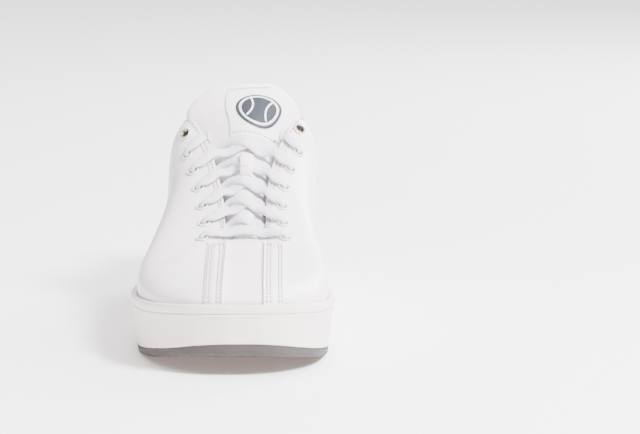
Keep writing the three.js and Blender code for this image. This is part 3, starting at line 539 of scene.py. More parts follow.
def tongue(s, a):
    """The tongue's face and outward direction at s along it and a across it, -1 outer to 1 inner."""
    s, a = np.broadcast_arrays(np.asarray(s, float), np.asarray(a, float))
    row, side, up = tongue_axes(s)
    arc = np.radians(row[..., 5])
    radius = row[..., 3] / np.sin(arc)
    turned, straight = np.sin(a * arc)[..., None], np.cos(a * arc)[..., None]
    bulge = row[..., 6] * (0.5 + 0.5 * np.cos(np.pi * np.clip(np.abs(a) / 0.66, 0, 1)))
    p = row[..., :3] + side * radius[..., None] * turned
    p = p + up * (bulge[..., None] - radius[..., None] * (1 - straight))
    return p, side * turned + up * straight


# ---- Meshes ----


def grid_quads(n, m):
    i, j = np.meshgrid(np.arange(n - 1), np.arange(m - 1), indexing="ij")
    a = i * m + j
    return np.stack([a, a + m, a + m + 1, a + 1], -1).reshape(-1, 4)


def ring_quads(count, m, base=0, closed=False):
    """Quads between rings of m points each, with the last ring joined to the first where it is closed."""
    i, j = np.meshgrid(np.arange(count if closed else count - 1), np.arange(m), indexing="ij")
    here, ahead = base + i * m, base + (i + 1) % count * m
    corners = [here + j, here + (j + 1) % m, ahead + (j + 1) % m, ahead + j]
    return np.stack(corners, -1).reshape(-1, 4)


def slab(top, under):
    """A closed sheet between two grids of points."""
    n, m = top.shape[:2]
    rim = np.concatenate([np.arange(n) * m, (n - 1) * m + np.arange(1, m),
                          np.arange(n - 2, -1, -1) * m + m - 1, np.arange(m - 2, 0, -1)])
    ahead = np.roll(rim, -1)
    quads = grid_quads(n, m)
    sides = np.stack([ahead, rim, rim + n * m, ahead + n * m], -1)
    faces = np.concatenate([quads, quads[:, ::-1] + n * m, sides])
    return np.concatenate([top.reshape(-1, 3), under.reshape(-1, 3)]), faces


def tube(rings, closed=False):
    """A tube over rings of points, with its ends capped, or joined where it is closed."""
    n, m = rings.shape[:2]
    faces = ring_quads(n, m, closed=closed).tolist()
    if not closed:
        faces += [list(range(m))[::-1], [(n - 1) * m + k for k in range(m)]]
    return rings.reshape(-1, 3), faces


def facing_out(points, faces):
    """The faces, turned over if they enclose a negative volume."""
    volume = 0
    for f in faces:
        a = points[f[0]]
        for b, c in zip(f[1:-1], f[2:]):
            volume += np.dot(a, np.cross(points[b], points[c]))
    return faces if volume > 0 else [f[::-1] for f in faces]


def turned_out(points, faces):
    """The same for many quads at once."""
    p = points[faces]
    volume = np.sum(p[:, 0] * (np.cross(p[:, 1], p[:, 2]) + np.cross(p[:, 2], p[:, 3])))
    return faces if volume > 0 else faces[:, ::-1]


def mesh_object(name, points, faces):
    """An object in the scene, from points in millimetres."""
    mesh = bpy.data.meshes.new(name)
    mesh.from_pydata((np.asarray(points) * MM).tolist(), [], [list(f) for f in faces])
    obj = bpy.data.objects.new(name, mesh)
    bpy.context.scene.collection.objects.link(obj)
    return obj


def piece(name, points, faces, material, slot, nodes=(), body="shoe", sharp=45):
    """A mesh object that rides on a body and stands for CAD nodes."""
    faces = turned_out(points, faces) if isinstance(faces, np.ndarray) else facing_out(points, faces)
    obj = mesh_object(name, points, faces)
    obj.data.materials.append(material)
    obj.data.shade_smooth()
    obj.data.set_sharp_from_angle(angle=math.radians(sharp))
    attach(obj, body)
    if nodes:
        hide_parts(*nodes)
    return obj


def sheet(name, p, n, high, low, *rest, **more):
    """A piece between two offsets of a surface given by its points and directions."""
    high, low = (np.asarray(offset, float)[..., None] for offset in (high, low))
    return piece(name, *slab(p + n * high, p + n * low), *rest, **more)


def strand_places(obj, values):
    """Stores where each point lies along and across a strand, in metres, for its weave."""
    made = obj.data.attributes.new("strand", "FLOAT_VECTOR", "POINT")
    made.data.foreach_set("vector", (values * MM).astype(np.float32).ravel())


def bored(obj, eyes):
    """Cuts a round hole through the piece at each eye."""
    for p, n in eyes:
        side = unit(np.cross(n, [0, 1, 0.3]))
        turn = turns(28)[:, None]
        ring = EYE_BORE * (np.cos(turn) * side + np.sin(turn) * np.cross(n, side))
        rings = np.stack([ring + p + n * h for h in (-DRILL_REACH, DRILL_REACH)])
        points, faces = tube(rings)
        drill = mesh_object("drill", points, facing_out(points, faces))
        cut = obj.modifiers.new("drill", "BOOLEAN")
        cut.object, cut.operation, cut.solver = drill, "DIFFERENCE", "EXACT"
        cut_mesh = bpy.data.meshes.new_from_object(obj.evaluated_get(bpy.context.evaluated_depsgraph_get()))
        obj.modifiers.clear()
        obj.data = cut_mesh
        bpy.data.objects.remove(drill)


# ---- Seams ----

PITCH = 2.5  # from one stitch to the next
THREAD_RADIUS = 0.3
SEAM_STEP = 0.5  # between a seam's points


def at_reach(at, reach, rows):
    """The rows of three numbers met at these distances along a line."""
    return np.stack([np.interp(at, reach, rows[:, k]) for k in range(3)], -1)


def resampled(points, normals):
    """A line of points and normals at even steps along its length."""
    reach = run_along(points)
    even = np.arange(0, reach[-1], SEAM_STEP)
    return at_reach(even, reach, points), unit(at_reach(even, reach, normals))


def seam_on_skin(us, vs):
    """A seam through a few (u, v) places of the skin, joined by a smooth curve."""
    both = along(np.stack([us, vs], -1).astype(float), np.linspace(0, len(us) - 1, 160), False)
    return resampled(*skin(both[:, 0], both[:, 1]))


def raised_seam(place, offset):
    """A seam along points and directions, lifted off them."""
    p, n = place
    return resampled(p + n * offset, n)


def stitching(name, seams, body="shoe", pitch=PITCH):
    """Thread on the seams: one rounded stitch after another, its ends pulled down into the leather."""
    t = np.array([-0.5, -0.4, -0.2, 0, 0.2, 0.4, 0.5])
    girth = np.array([0.3, 0.85, 1, 1, 1, 0.85, 0.3]) * THREAD_RADIUS
    turn = turns(6)
    points = []
    for p, n in seams:
        reach = np.arange(len(p)) * SEAM_STEP
        middles = np.arange(pitch / 2, reach[-1] - pitch / 2, pitch)
        if not len(middles):
            continue
        at = middles[:, None] + t * pitch * 0.74
        q, up = at_reach(at, reach, p), unit(at_reach(at, reach, n))
        ahead = unit(q[:, -1:] - q[:, :1])
        side = np.cross(ahead, up)
        q = q + up * (0.14 - 1.6 * t**2)[:, None]
        ring = np.cos(turn)[:, None] * side[:, :, None] + np.sin(turn)[:, None] * up[:, :, None]
        points.append(q[:, :, None] + ring * girth[:, None, None])
    points = np.concatenate(points)
    count, rings, sides = points.shape[:3]
    firsts = np.arange(count) * rings * sides
    quads = (firsts[:, None, None] + ring_quads(rings, sides)).reshape(-1, 4).tolist()
    last = (rings - 1) * sides
    for first in firsts:
        quads.append([first + k for k in range(sides)][::-1])
        quads.append([first + last + k for k in range(sides)])
    piece(name, points.reshape(-1, 3), quads, THREAD, "white_leather", body=body, sharp=80)


def sunk(points, seams, depth=0.4, width=1.1):
    """How far each point is pulled in by the seams near it."""
    lines = np.concatenate([p for p, _ in seams])
    tree = kdtree.KDTree(len(lines))
    for i, p in enumerate(lines):
        tree.insert(p, i)
    tree.balance()
    far = np.array([tree.find(p)[2] for p in points.reshape(-1, 3)]).reshape(points.shape[:-1])
    return depth * np.exp(-((far / width) ** 2))


# ---- Lace: the route of the CAD, with a fuller section ----

LACE_WIDTH, LACE_THICK = 6.6, 1.4
BUNCHED_WIDTH, BUNCHED_THICK = 3.1, 2.3
NARROWED = 5.4  # the lace's width where the first row crosses under the leather
UNDER = -LINED - 0.5 - LACE_THICK / 2
OVER = 0.7 + LACE_THICK / 2
SIDES = {"outer": (OUTER_SEAM, OUTER_TIP, 1), "inner": (INNER_SEAM, INNER_TIP, -1)}
# Over the tongue: the levels where a crossing starts, peaks and ends, and each lace's height there.
FIRST_CROSSING = {"parts": (0.56, 0.7, 0.86), "outer": (1.3, 1.3, 1.4), "inner": (1.3, 2.9, 1.7)}
CROSSING = {"parts": (0.36, 0.6, 0.85), "outer": (2.9, 1.4, 1.5), "inner": (3.7, 3.2, 1.8)}
KEPT_CROSSING = {"parts": (0.36, 0.6, 0.85), "outer": (3.2, 2.6, 2), "inner": (4, 4.3, 2.4)}


def eye_places(side):
    """The eyelets' points on the skin and their directions."""
    seam, _, turn = SIDES[side]
    x = np.array([e[0 if side == "outer" else 1] for e in EYELETS], float)
    y = np.array([e[2] for e in EYELETS], float)
    u, v = find_on_skin(x, y, seam + turn * (1.5 + np.arange(EYELET_ROWS)), 0.8)
    return list(zip(*skin(u, v)))


EYES = {side: eye_places(side) for side in SIDES}


def knot(p, n, width=LACE_WIDTH, thick=LACE_THICK):
    """A control of the lace: its point, the direction its flat side faces, its width and its thickness."""
    return np.concatenate([p, n, [width, thick]])


def flat(place, offset, sign, width=LACE_WIDTH):
    """The lace lying flat at an offset from a surface."""
    p, n = place
    return knot(p + n * offset, n * sign, width)


def solve(f, a, b):
    """Where f is zero between a and b, by bisection."""
    rising = f(b) > f(a)
    for _ in range(40):
        c = (a + b) / 2
        if (f(c) > 0) == rising:
            b = c
        else:
            a = c
    return (a + b) / 2


def level_y(level):
    """How far along the throat a level of the lacing is: 1 is the first row, 1.5 half way to the second."""
    row = int(level)
    return lerp(EYELETS[row - 1][2], EYELETS[row][2], level % 1)


def throat_at(side, y):
    """The station where the throat's edge passes y."""
    seam, tip, _ = SIDES[side]
    return solve(lambda k: skin_point(k, 1)[1] - y, seam, tip)


def throat_edge(side, level, v=1.0):
    """The skin at the throat's edge at a level of the lacing, or a little below the edge."""
    return skin(throat_at(side, level_y(level) + 2.5), v)


def tongue_at(level, across):
    """The tongue's face at a level of the lacing."""
    y = level_y(level) + 3
    return tongue(solve(lambda k: tongue(k, 0)[0][1] - y, 0, 1), across)


def through_eyelet(side, row, out, sign):
    """The bunched lace's way through an eyelet, outwards or inwards."""
    p, n = EYES[side][row - 1]
    inward = throat_edge(side, row + 0.05)[0] - p
    inward = unit(inward - n * np.dot(inward, n))
    facing = sign if out else -sign

    def at(offset, shift, tilt, width=BUNCHED_WIDTH, thick=BUNCHED_THICK):
        return knot(p + n * offset + inward * shift, unit(inward + n * tilt) * facing, width, thick)

    way = [
        flat((p + inward * 5.5, n), UNDER - (1.2 if row == 1 else 0.3), facing, 5.5),
        at(UNDER - 0.6, 1.6, 0.9, 3.6, 1.8),
        at(-LINED - 0.4, 0.1, 0),
        at(-1.4, 0, 0),
        at(1.4, 0.1, 0),
        at(2.6, 1.5, -1, 3.6, 1.8),
        flat((p + inward * 4.8, n), 2.3, -facing, 5.6),
    ]
    return way if out else way[::-1]


def crossing(side, row, sign):
    """The lace's way over the tongue from one side to the other."""
    plan = FIRST_CROSSING if row == 1 else KEPT_CROSSING if row == EYELET_ROWS - 2 else CROSSING
    turn = SIDES[side][2]
    width = NARROWED if row == 1 else LACE_WIDTH
    across = (-0.33 * turn, 0, 0.3 * turn)
    return [flat(tongue_at(row + part, at), height, sign, width)
            for part, at, height in zip(plan["parts"], across, plan[side])]


def half_lace(side):
    """From the bar over the first row to the last eyelet used, ending over the eyestay's edge."""
    path = [flat(throat_edge(side, 1.1), OVER + 0.4, 1), *through_eyelet(side, 1, False, 1)]
    here, sign = side, -1
    for row in range(1, EYELET_ROWS - 1):
        there = "inner" if here == "outer" else "outer"
        if row == 1:
            path.append(flat(throat_edge(here, 1.46, 0.97), UNDER - 0.6, sign, NARROWED))
        else:
            path.append(flat(throat_edge(here, row + 0.24), OVER + 0.6, sign))
        path += crossing(here, row, sign)
        width = NARROWED if row == 1 else LACE_WIDTH
        path.append(flat(throat_edge(there, row + 0.94, 0.975), UNDER - 0.45, sign, width))
        path += through_eyelet(there, row + 1, True, sign)
        here, sign = there, -sign
    path.append(flat(throat_edge(here, EYELET_ROWS - 0.72, 0.985), OVER, sign, 6.4))
    return path, here, sign


def loose_end(here, sign):
    """Turned in over the eyestay, down the wall and forward along the sock liner."""
    p, n = throat_edge(here, EYELET_ROWS - 0.72)
    turn = SIDES[here][2]
    begin = throat_at(here, p[1])
    inward = np.array([turn, 0.15, 0])
    inward = unit(inward - n * np.dot(inward, n))

    def over(shift, offset, tilt):
        return knot(p + n * offset + inward * shift, unit(n * tilt + inward) * sign, 6)

    wall = [(0.12, 0.93, 1.2), (0.25, 0.82, 1.2), (0.4, 0.68, 1.3), (0.45, 0.5, 1.6), (0.4, 0.32, 2),
            (0.25, 0.18, 2.6), (0.1, 0.08, 4)]
    floor = [(0.05, 21, 3), (0.6, 22.5, 1.6), (1.5, 23.5, 1.3), (2.5, 24, 1.3), (3.2, 24, 1.3),
             (3.75, 24, 1.5)]
    path = [over(2.0, 0.5, 0.6), over(2.3, -1.6, -0.2), over(1.2, -4.2, -1.2)]
    path += [flat(skin(begin + turn * du, v), UNDER + 0.7 - off, -sign, 6.4) for du, v, off in wall]
    for du, inset, rise in floor:
        xy = lip_point(begin - turn * du, inset)[0]
        path.append(knot([xy[0], xy[1], footbed_z(xy[1]) + rise], [0, 0, sign], 6.6))
    return path


def ribbon(controls, pitch=1.0):
    """Even samples of a smooth curve through the controls, parametrised by chord length."""
    rows = np.array(controls)
    chord = np.linalg.norm(np.diff(rows[:, :3], axis=0), axis=1)
    steep = np.diff(rows, axis=0) / chord[:, None]
    before, after = chord[:-1, None], chord[1:, None]
    inner = (steep[1:] * before + steep[:-1] * after) / (before + after)
    slopes = np.concatenate([steep[:1], inner, steep[-1:]])
    samples = []
    for i, h in enumerate(chord):
        steps = max(2, round(h / pitch))
        t = np.linspace(0, 1, steps + 1)[: steps + (i == len(chord) - 1), None]
        samples.append((1 + t * t * (2 * t - 3)) * rows[i] + t * (1 - t) ** 2 * h * slopes[i]
                       + t * t * (3 - 2 * t) * rows[i + 1] + t * t * (t - 1) * h * slopes[i + 1])
    return np.concatenate(samples)


def lace_rings(samples, fullness, sides=18):
    """Rounded flat sections along the lace. Fullness widens and thickens it where it lies flat."""
    p, face, width, thick = samples[:, :3], samples[:, 3:6], samples[:, 6], samples[:, 7]
    forward = unit(np.gradient(p, axis=0))
    face = unit(face - forward * np.sum(face * forward, 1, keepdims=True))
    side = np.cross(forward, face)
    spread = smooth(width, 3.4, 5.6)
    reach = run_along(p)
    slack = 1 + 0.03 * np.sin(reach / 6.1) + 0.02 * np.sin(reach / 2.3)
    width = width * lerp(1.0, fullness[0], spread) * slack
    thick = thick * lerp(1.0, fullness[1], spread)
    turn = turns(sides)
    x, y = 0.5 * squared(np.cos(turn), 0.8), 0.5 * squared(np.sin(turn), 0.9)
    rings = p[:, None] + side[:, None] * (width[:, None] * x)[..., None]
    rings = rings + face[:, None] * (thick[:, None] * y)[..., None]
    across = width[:, None] * x
    strand = np.stack([np.repeat(reach[:, None], sides, 1), across, np.zeros_like(across)], -1)
    return rings, strand.reshape(-1, 3), reach[-1]


LACED_FULLNESS = (1.04, 1.95)
TAIL_FULLNESS = (1.08, 1.3)
AGLET = [  # radius and height up the tip
    (0, 0), (1.1, 0), (1.5, 0.35), (1.6, 1.2), (1.6, 17.6), (1.52, 18.8), (1.25, 19.7), (0.8, 20), (0, 20),
]


def lathe(profile, base, axis, sides=32, closed=False):
    """A turned shape: profile is (radius, height) along an axis from a base point."""
    side = unit(np.cross(axis, [0.2, 1, 0.3]))
    turn = turns(sides)[:, None]
    around = np.cos(turn) * side + np.sin(turn) * np.cross(axis, side)
    rings = np.stack([base + axis * h + around * max(r, 0.02) for r, h in profile])
    return tube(rings, closed)


def laces():
    """The laced part, and the two loose ends with their tips."""
    bar = knot([4.4, -49.2, 58.8], tongue_at(1.2, 0)[1])
    halves = [half_lace("outer"), half_lace("inner")]
    rings, strand, _ = lace_rings(ribbon([*halves[0][0][::-1], bar, *halves[1][0]]), LACED_FULLNESS)
    strand_places(piece("laced_part", *tube(rings), LACE, "white_lace", ["shoelace"], sharp=180), strand)
    for _, here, sign in halves:
        controls = loose_end(here, sign)
        samples = ribbon(controls, 1.5)
        rings, strand, length = lace_rings(samples, TAIL_FULLNESS)
        tail = piece(f"lace_end_{here}", *tube(rings), LACE, "white_lace", [f"lace_tail_{here}"], sharp=180)
        strand_places(tail, strand)
        last, before = controls[-1][:3], controls[-2][:3]
        axis = unit(last - before)
        base = last + [0, 0, 0.9] + axis * GAP
        tip = piece(f"lace_tip_{here}", *lathe(AGLET, base, axis), TIP, "clear_tip", [f"aglet_{here}"])


# ---- Upper ----

EDGE = 0.8  # radius that a leather edge is rounded to
# Seams behind the ankle, as station and height: the collar's padding and the counter's edge.
PADDING_SEAM = [(12.05, 81), (11.4, 77.5), (10.6, 72), (9.9, 68.5), (9.3, 67), (8.8, 68.5), (8.4, 74)]
COUNTER_SEAM = [(11.55, 77.4), (11.15, 69), (10.8, 60.5), (10.2, 52.5), (9.4, 46), (8.6, 40.5), (7.9, 35),
                (7.4, 31)]


def rounded(depth, radius=EDGE):
    """How far a surface falls at this distance from its edge."""
    t = 1 - np.clip(np.asarray(depth, float) / radius, 0, 1)
    return radius * (1 - np.sqrt(np.maximum(0, 1 - t * t)))


def speed_at(u):
    """Millimetres of skin per unit of v at the top line."""
    return 1 / (1 - below_top(u, 1.0))


def v_at_height(u, z):
    """How far up the skin each height z is met."""
    vs = np.linspace(0, 1, 101)
    return np.array([np.interp(h, skin_point(np.full(101, k), vs)[:, 2], vs) for k, h in zip(u, z)])


def on_side(side, us):
    """Stations counted on the outer side, mirrored for the inner side."""
    return np.asarray(us, float) if side == "outer" else 2 * HEEL - np.asarray(us, float)


def quarter_seams(side):
    """One quarter's seams: round the throat and collar, inside the throat, the padding and the counter."""
    edge = on_side(side, np.linspace(1.15, 12.02, 260))
    depth = lerp(2.0, 4.4, smooth(on_side(side, edge), 7.9, 8.9))
    seams = [resampled(*skin(edge, below_top(edge, depth)))]
    second = on_side(side, np.linspace(1.15, 7.3, 140))
    seams.append(resampled(*skin(second, below_top(second, 4.5))))
    for line in (PADDING_SEAM, COUNTER_SEAM):
        u, z = (np.array(k, float) for k in zip(*line))
        u = on_side(side, u)
        seams.append(seam_on_skin(u, v_at_height(u, z)))
    return seams


# Heights on the skin where the leather has points, closer together near the top line.
LEVELS = np.concatenate([[-1, -0.6, -0.3, -0.12, 0], np.linspace(0.02, 0.93, 60),
                         np.linspace(0.94, 0.984, 8), [0.988, 0.992, 0.995, 0.998, 1]])


def collar_puff(u, v):
    """The padding pushes the leather out between its seam and the rim."""
    out = np.minimum(u, 2 * HEEL - u)
    knots, heights = zip(*PADDING_SEAM[::-1])
    seam = np.interp(out, knots, v_at_height(np.array(knots), np.array(heights)))
    rise = smooth(v, seam, seam + 0.1) * (1 - smooth(v, 0.93, 1))
    return 1.2 * rise * smooth(out, 8.4, 9.2)


def fold_at(v):
    """The leather is turned under at the throat, where its edge is as thick as the whole wall."""
    return 2.3 * smooth(v, 0.981, 0.988)


def quarter(side):
    """A side panel, from the vamp's seam to the heel, with its stitching."""
    start_at, end_at = (OUTER_SEAM, HEEL) if side == "outer" else (HEEL, INNER_SEAM)
    u, v = np.meshgrid(np.linspace(start_at + SEAM_GAP, end_at - SEAM_GAP, 251), LEVELS, indexing="ij")
    p, n = skin(u, v)
    seams = quarter_seams(side)
    high = collar_puff(u, v) - sunk(p, seams) - rounded((1 - v) * speed_at(u))
    low = -LEATHER_THICK - fold_at(v)
    made = sheet(f"quarter_{side}_leather", p, n, high, low, LEATHER, "white_leather", [f"quarter_{side}"])
    bored(made, EYES[side])
    stitching(f"quarter_{side}_stitching", seams)


def vamp():
    """The plain front panel."""
    across = np.linspace(INNER_SEAM + SEAM_GAP - LAPS, OUTER_SEAM - SEAM_GAP, 49)
    u, v = np.meshgrid(across, LEVELS, indexing="ij")
    p, n = skin(u, v)
    high = -rounded((1 - v) * speed_at(u))
    sheet("vamp_leather", p, n, high, -LEATHER_THICK - fold_at(v), LEATHER, "white_leather", ["vamp"])


STRAP_THREAD = 1.2  # how high the thread lies on a strap
DENT = (0.35, 0.9)  # depth and width of a seam's dent in a strap or patch


def strap_edges(side):
    """The strap's inner and outer edge seen from above, each as x at the toe and x at the throat."""
    return ((-4.5, -5.2), (-14, -15.4)) if side == "outer" else ((15, 14), (25, 24.3))


def strap_place(side, s, t):
    """Across a toe strap from its inner edge, and along it from the sole's lip to the throat."""
    (a0, a1), (b0, b1) = strap_edges(side)
    guess = OUTER_SEAM if side == "outer" else INNER_SEAM - LAPS
    top_x = lerp(a1, b1, s)
    v_end = find_on_skin(top_x, np.full_like(top_x, -58.5), np.full_like(top_x, guess), 0.9)[1]
    v = t * v_end
    u = np.full_like(v, guess)
    for _ in range(25):
        p = skin_point(u, v)
        run = np.clip((p[..., 1] + 140.5) / 81.5, 0, 1)
        x = lerp(lerp(a0, a1, run), lerp(b0, b1, run), s)
        slope = (skin_point(u + 0.01, v)[..., 0] - p[..., 0]) * 100
        u = u - np.clip((p[..., 0] - x) / slope, -0.4, 0.4)
    return u, v


def strap(side):
    """A toe strap, stitched twice along each edge and across its end, with its inner edge left thick."""
    width = 9.8
    broad = np.concatenate([[0, 0.02, 0.05, 0.09], np.linspace(0.13, 0.87, 25), [0.91, 0.95, 0.98, 1]])
    lengthwise = np.concatenate([np.linspace(0, 0.97, 90), [0.98, 0.99, 0.995, 1]])
    s, t = np.meshgrid(broad, lengthwise, indexing="ij")
    p, n = skin(*strap_place(side, s, t))

    def row(s_at, t_at):
        return raised_seam(skin(*strap_place(side, s_at, t_at)), STRAP_THREAD)

    down = np.linspace(0.02, 0.985, 120)
    across = np.linspace(0.12, 0.9, 30)
    edges = [1.6 / width, 3.2 / width, 1 - 2.6 / width, 1 - 1.1 / width]
    rows = [row(np.full_like(down, e), down) for e in edges]
    rows += [row(across, np.full_like(across, 0.975)), row(across, np.full_like(across, 0.945))]
    raised = 1.35 + 0.85 * (1 - smooth(s, 0, 0.12))
    depth = np.minimum(np.minimum(s, 1 - s) * width, (1 - t) * 95)
    high = raised - sunk(p + n * STRAP_THREAD, rows, *DENT) - rounded(depth, 0.7)
    sheet(f"toe_strap_{side}_leather", p, n, high, 0.08, LEATHER, "white_leather", [f"toe_strap_{side}"])
    stitching(f"toe_strap_{side}_stitching", rows, pitch=2.2)


def heel_stay():
    """The strip up the heel, its outer edge thick and its stitches in pairs."""
    half, per_station = 0.97, 13.0
    ends = np.array([0.94, 0.965, 0.985, 1])
    broad = np.concatenate([-ends[::-1], np.linspace(-0.9, 0.9, 43), ends])
    u, v = np.meshgrid(HEEL + half * broad, np.linspace(0, 0.972, 110), indexing="ij")
    p, n = skin(u, v)
    rise = np.linspace(0.015, 0.955, 140)
    from_middle = [-half + 2.6 / per_station, -half + 5.0 / per_station, half - 3.4 / per_station,
                   half - 1.1 / per_station]
    rows = [raised_seam(skin(np.full_like(rise, HEEL + far), rise), STRAP_THREAD) for far in from_middle]
    depth = (half - np.abs(u - HEEL)) * per_station
    raised = 1.3 + 0.5 * (1 - smooth(u, HEEL - half, HEEL - half + 0.1))
    high = raised - sunk(p + n * STRAP_THREAD, rows, *DENT) - rounded(depth, 0.7)
    sheet("heel_stay_leather", p, n, high, 0.05, LEATHER, "white_leather", ["heel_stay"])
    across = np.linspace(HEEL - half + 0.05, HEEL + half - 0.05, 40)
    rows.append(raised_seam(skin(across, below_top(across, 4.4)), 1.15))
    stitching("heel_stay_stitching", rows)


def collar():
    """The rolled rim and the foam under it."""
    section = np.array([(1.0, -1.3), (1.35, 0.4), (1.0, 2.2), (-0.4, 3.5), (-2.4, 3.9), (-4.3, 3.1),
                        (-5.3, 1.2), (-5.2, -1.0), (-3.4, -1.6), (-0.9, -1.7)])
    smooth_section = along(section, np.linspace(0, len(section), 31)[:-1])
    us = np.linspace(OUTER_TIP + 0.06, INNER_TIP - 0.06, 230)
    p, n = skin(us, np.ones_like(us))
    rise = unit(skin_point(us, 1) - skin_point(us, 0.96))
    from_tip = np.minimum(us - OUTER_TIP, INNER_TIP - us)
    size = lerp(0.35, 1.0, smooth(from_tip, 0.06, 0.75))[:, None, None]
    middle = np.array([-2.0, 0.6])
    at = middle + (smooth_section - middle) * size
    rings = p[:, None] + n[:, None] * at[..., :1] + rise[:, None] * at[..., 1:]
    piece("collar_rim", *tube(rings), LEATHER, "white_leather", ["collar_binding"], sharp=180)

    u, v = np.meshgrid(np.linspace(OUTER_TIP, INNER_TIP, 121), np.linspace(0.48, LINING_TOP, 22), indexing="ij")
    p, n = skin(u, v)
    foam = sheet("collar_padding", p, n, -1.8, -2.8 - pad_at(u, v), FOAM, "foam", ["collar_foam"])


def lining():
    """The textile lining, as one piece behind the quarters and one behind the vamp."""
    rise = np.linspace(-1, LINING_TOP, 66)
    u, v = np.meshgrid(np.linspace(OUTER_SEAM + SEAM_GAP, INNER_SEAM - SEAM_GAP, 289), rise, indexing="ij")
    p, n = skin(u, v)
    face = LINED + pad_at(u, v)
    made = sheet("quarter_lining_knit", p, n, LINING_THICK - face, -face, LINING, "blue_lining",
                 ["quarter_lining"])
    bored(made, EYES["outer"] + EYES["inner"])
    across = np.linspace(INNER_SEAM + SEAM_GAP - LAPS, OUTER_SEAM - SEAM_GAP, 31)
    p, n = skin(*np.meshgrid(across, rise, indexing="ij"))
    sheet("vamp_lining_knit", p, n, LINING_THICK - LINED, -LINED, LINING, "blue_lining", ["vamp_lining"])


# Turned profiles, as radius and height. The last eyelet of a side also has a nickel barrel.
BARREL = [(1.95, -4.3), (2.2, -4.3), (2.22, 0.6), (2.5, 0.9), (2.86, 1.06), (2.75, 1.22), (2.3, 1.14),
          (1.95, 0.6)]
GROMMET = [(2.28, -4.2), (2.5, -4.2), (2.5, 0.3), (3.1, 0.3), (3.42, 0.42), (3.5, 0.62), (3.4, 0.85),
           (3.15, 1.0), (2.85, 1.02), (2.55, 0.9), (2.36, 0.65), (2.28, 0.3)]


def eyelets():
    """Seven enamelled eyelets a side."""
    for side, eyes in EYES.items():
        for row, (p, n) in enumerate(eyes, 1):
            piece(f"eyelet_{side}_row_{row}", *lathe(GROMMET, p, n, 40, True), ENAMEL, "white_enamel",
                  [f"eyelet_{side}_{row}"], sharp=60)
            if row == EYELET_ROWS:
                piece(f"eyelet_{side}_barrel", *lathe(BARREL, p, n, 40, True), NICKEL, "aged_nickel",
                      sharp=60)


# ---- Tongue ----

TONGUE_LENGTH = 165.0


def tongue_thickness(s):
    """Through face, foam and lining."""
    return lerp(7.3, 9.1, smooth(s, 0.48, 0.62))


def tongue_edge(s, a):
    """How far the face and the lining close towards each other near the tongue's free edges."""
    half = tongue_thickness(s) / 2
    half_width = along(TONGUE, s * (len(TONGUE) - 1), False)[..., 3]
    fall = rounded((1 - np.abs(a)) * half_width, half) + rounded((1 - s) * TONGUE_LENGTH, half)
    return 0.93 * np.minimum(fall, half)


def tongue_grid(s1, edge):
    """Places on the tongue up to s1 and out to its edge, closer together near both."""
    s = np.concatenate([np.linspace(0, 0.95 * s1, 120), np.linspace(0.95 * s1, s1, 16)[1:]])
    a = np.concatenate([np.linspace(-edge, -0.86 * edge, 9), np.linspace(-0.83, 0.83, 45) * edge,
                        np.linspace(0.86 * edge, edge, 9)])
    return np.meshgrid(s, a, indexing="ij")


def flexing(obj):
    """Leather, foam and lining run on over the flex line, so the piece is taken off its body and its place is
    baked in.
    """
    obj.parent = None
    obj.matrix_world.identity()
    del obj["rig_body"]
    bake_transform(obj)


def tongue_body():
    """The tongue's leather face, knitted lining and padding, each one piece along its whole length."""
    s, a = tongue_grid(1.0, 1.0)
    p, n = tongue(s, a)
    close, thick = tongue_edge(s, a), tongue_thickness(s)
    border = np.minimum((1 - np.abs(a)) * 26, (1 - s) * TONGUE_LENGTH)
    soft = 0.5 * smooth(border, 2, 12) * (0.5 + 0.5 * np.sin(s * 23 + a * 2.2))
    top = soft * smooth(s, 0.55, 0.65) * 0.5 - close
    face = sheet("tongue_leather", p, n, top, top - 1.1, LEATHER, "white_leather",
                 ["tongue_face_lower", "tongue_face_flap"])
    low = close - thick
    back = sheet("tongue_lining_knit", p, n, low + 0.9, low, LINING, "blue_lining",
                 ["tongue_lining_lower", "tongue_lining_flap"])
    s, a = tongue_grid(0.978, 0.93)
    p, n = tongue(s, a)
    close, thick = tongue_edge(s, a), tongue_thickness(s)
    core = sheet("tongue_padding", p, n, -1.3 - close, close + 1.0 - thick, FOAM, "foam",
                 ["tongue_foam_lower", "tongue_foam_flap"])
    for obj in (face, back, core):
        flexing(obj)


def tongue_sheet(s0, s1, a0, a1, across, up):
    """A patch of the tongue: its places, points and directions, and how far each is from the edge."""
    a, s = np.meshgrid(np.linspace(a0, a1, across), np.linspace(s0, s1, up), indexing="ij")
    p, n = tongue(s, a)
    half_width = along(TONGUE, s * (len(TONGUE) - 1), False)[..., 3]
    depth = np.minimum(np.minimum(a - a0, a1 - a) * half_width, np.minimum(s - s0, s1 - s) * TONGUE_LENGTH)
    return s, a, p, n, depth


def label():
    """A leather patch on the flap, sewn across its top and bottom."""
    thread_height = 1.1
    _, _, p, n, depth = tongue_sheet(0.602, 0.945, -0.3, 0.7, 61, 61)
    across = np.linspace(-0.26, 0.66, 80)
    rows = [raised_seam(tongue(s, across), thread_height) for s in (0.915, 0.62)]
    high = 1.2 - rounded(depth, 0.6) - sunk(p + n * thread_height, rows, *DENT)
    sheet("label_patch", p, n, high, 0.1, LABEL_LEATHER, "white_leather", ["tongue_label"],
          body="tongue_flap")
    stitching("label_stitching", rows, body="tongue_flap", pitch=2.1)


EMBLEM = (0.745, 0.23, 0.098, 0.37)  # middle along and across the tongue, and half its length and width
EMBLEM_TURN = math.radians(-13)


def emblem_place(x, y, offset):
    """A point of the emblem, x and y from -1 to 1 across and along it."""
    s0, a0, long_half, wide_half = EMBLEM
    c, d = math.cos(EMBLEM_TURN), math.sin(EMBLEM_TURN)
    p, n = tongue(s0 + long_half * (x * d + y * c), a0 + wide_half * (x * c - y * d))
    return p + n * np.asarray(offset)[..., None]


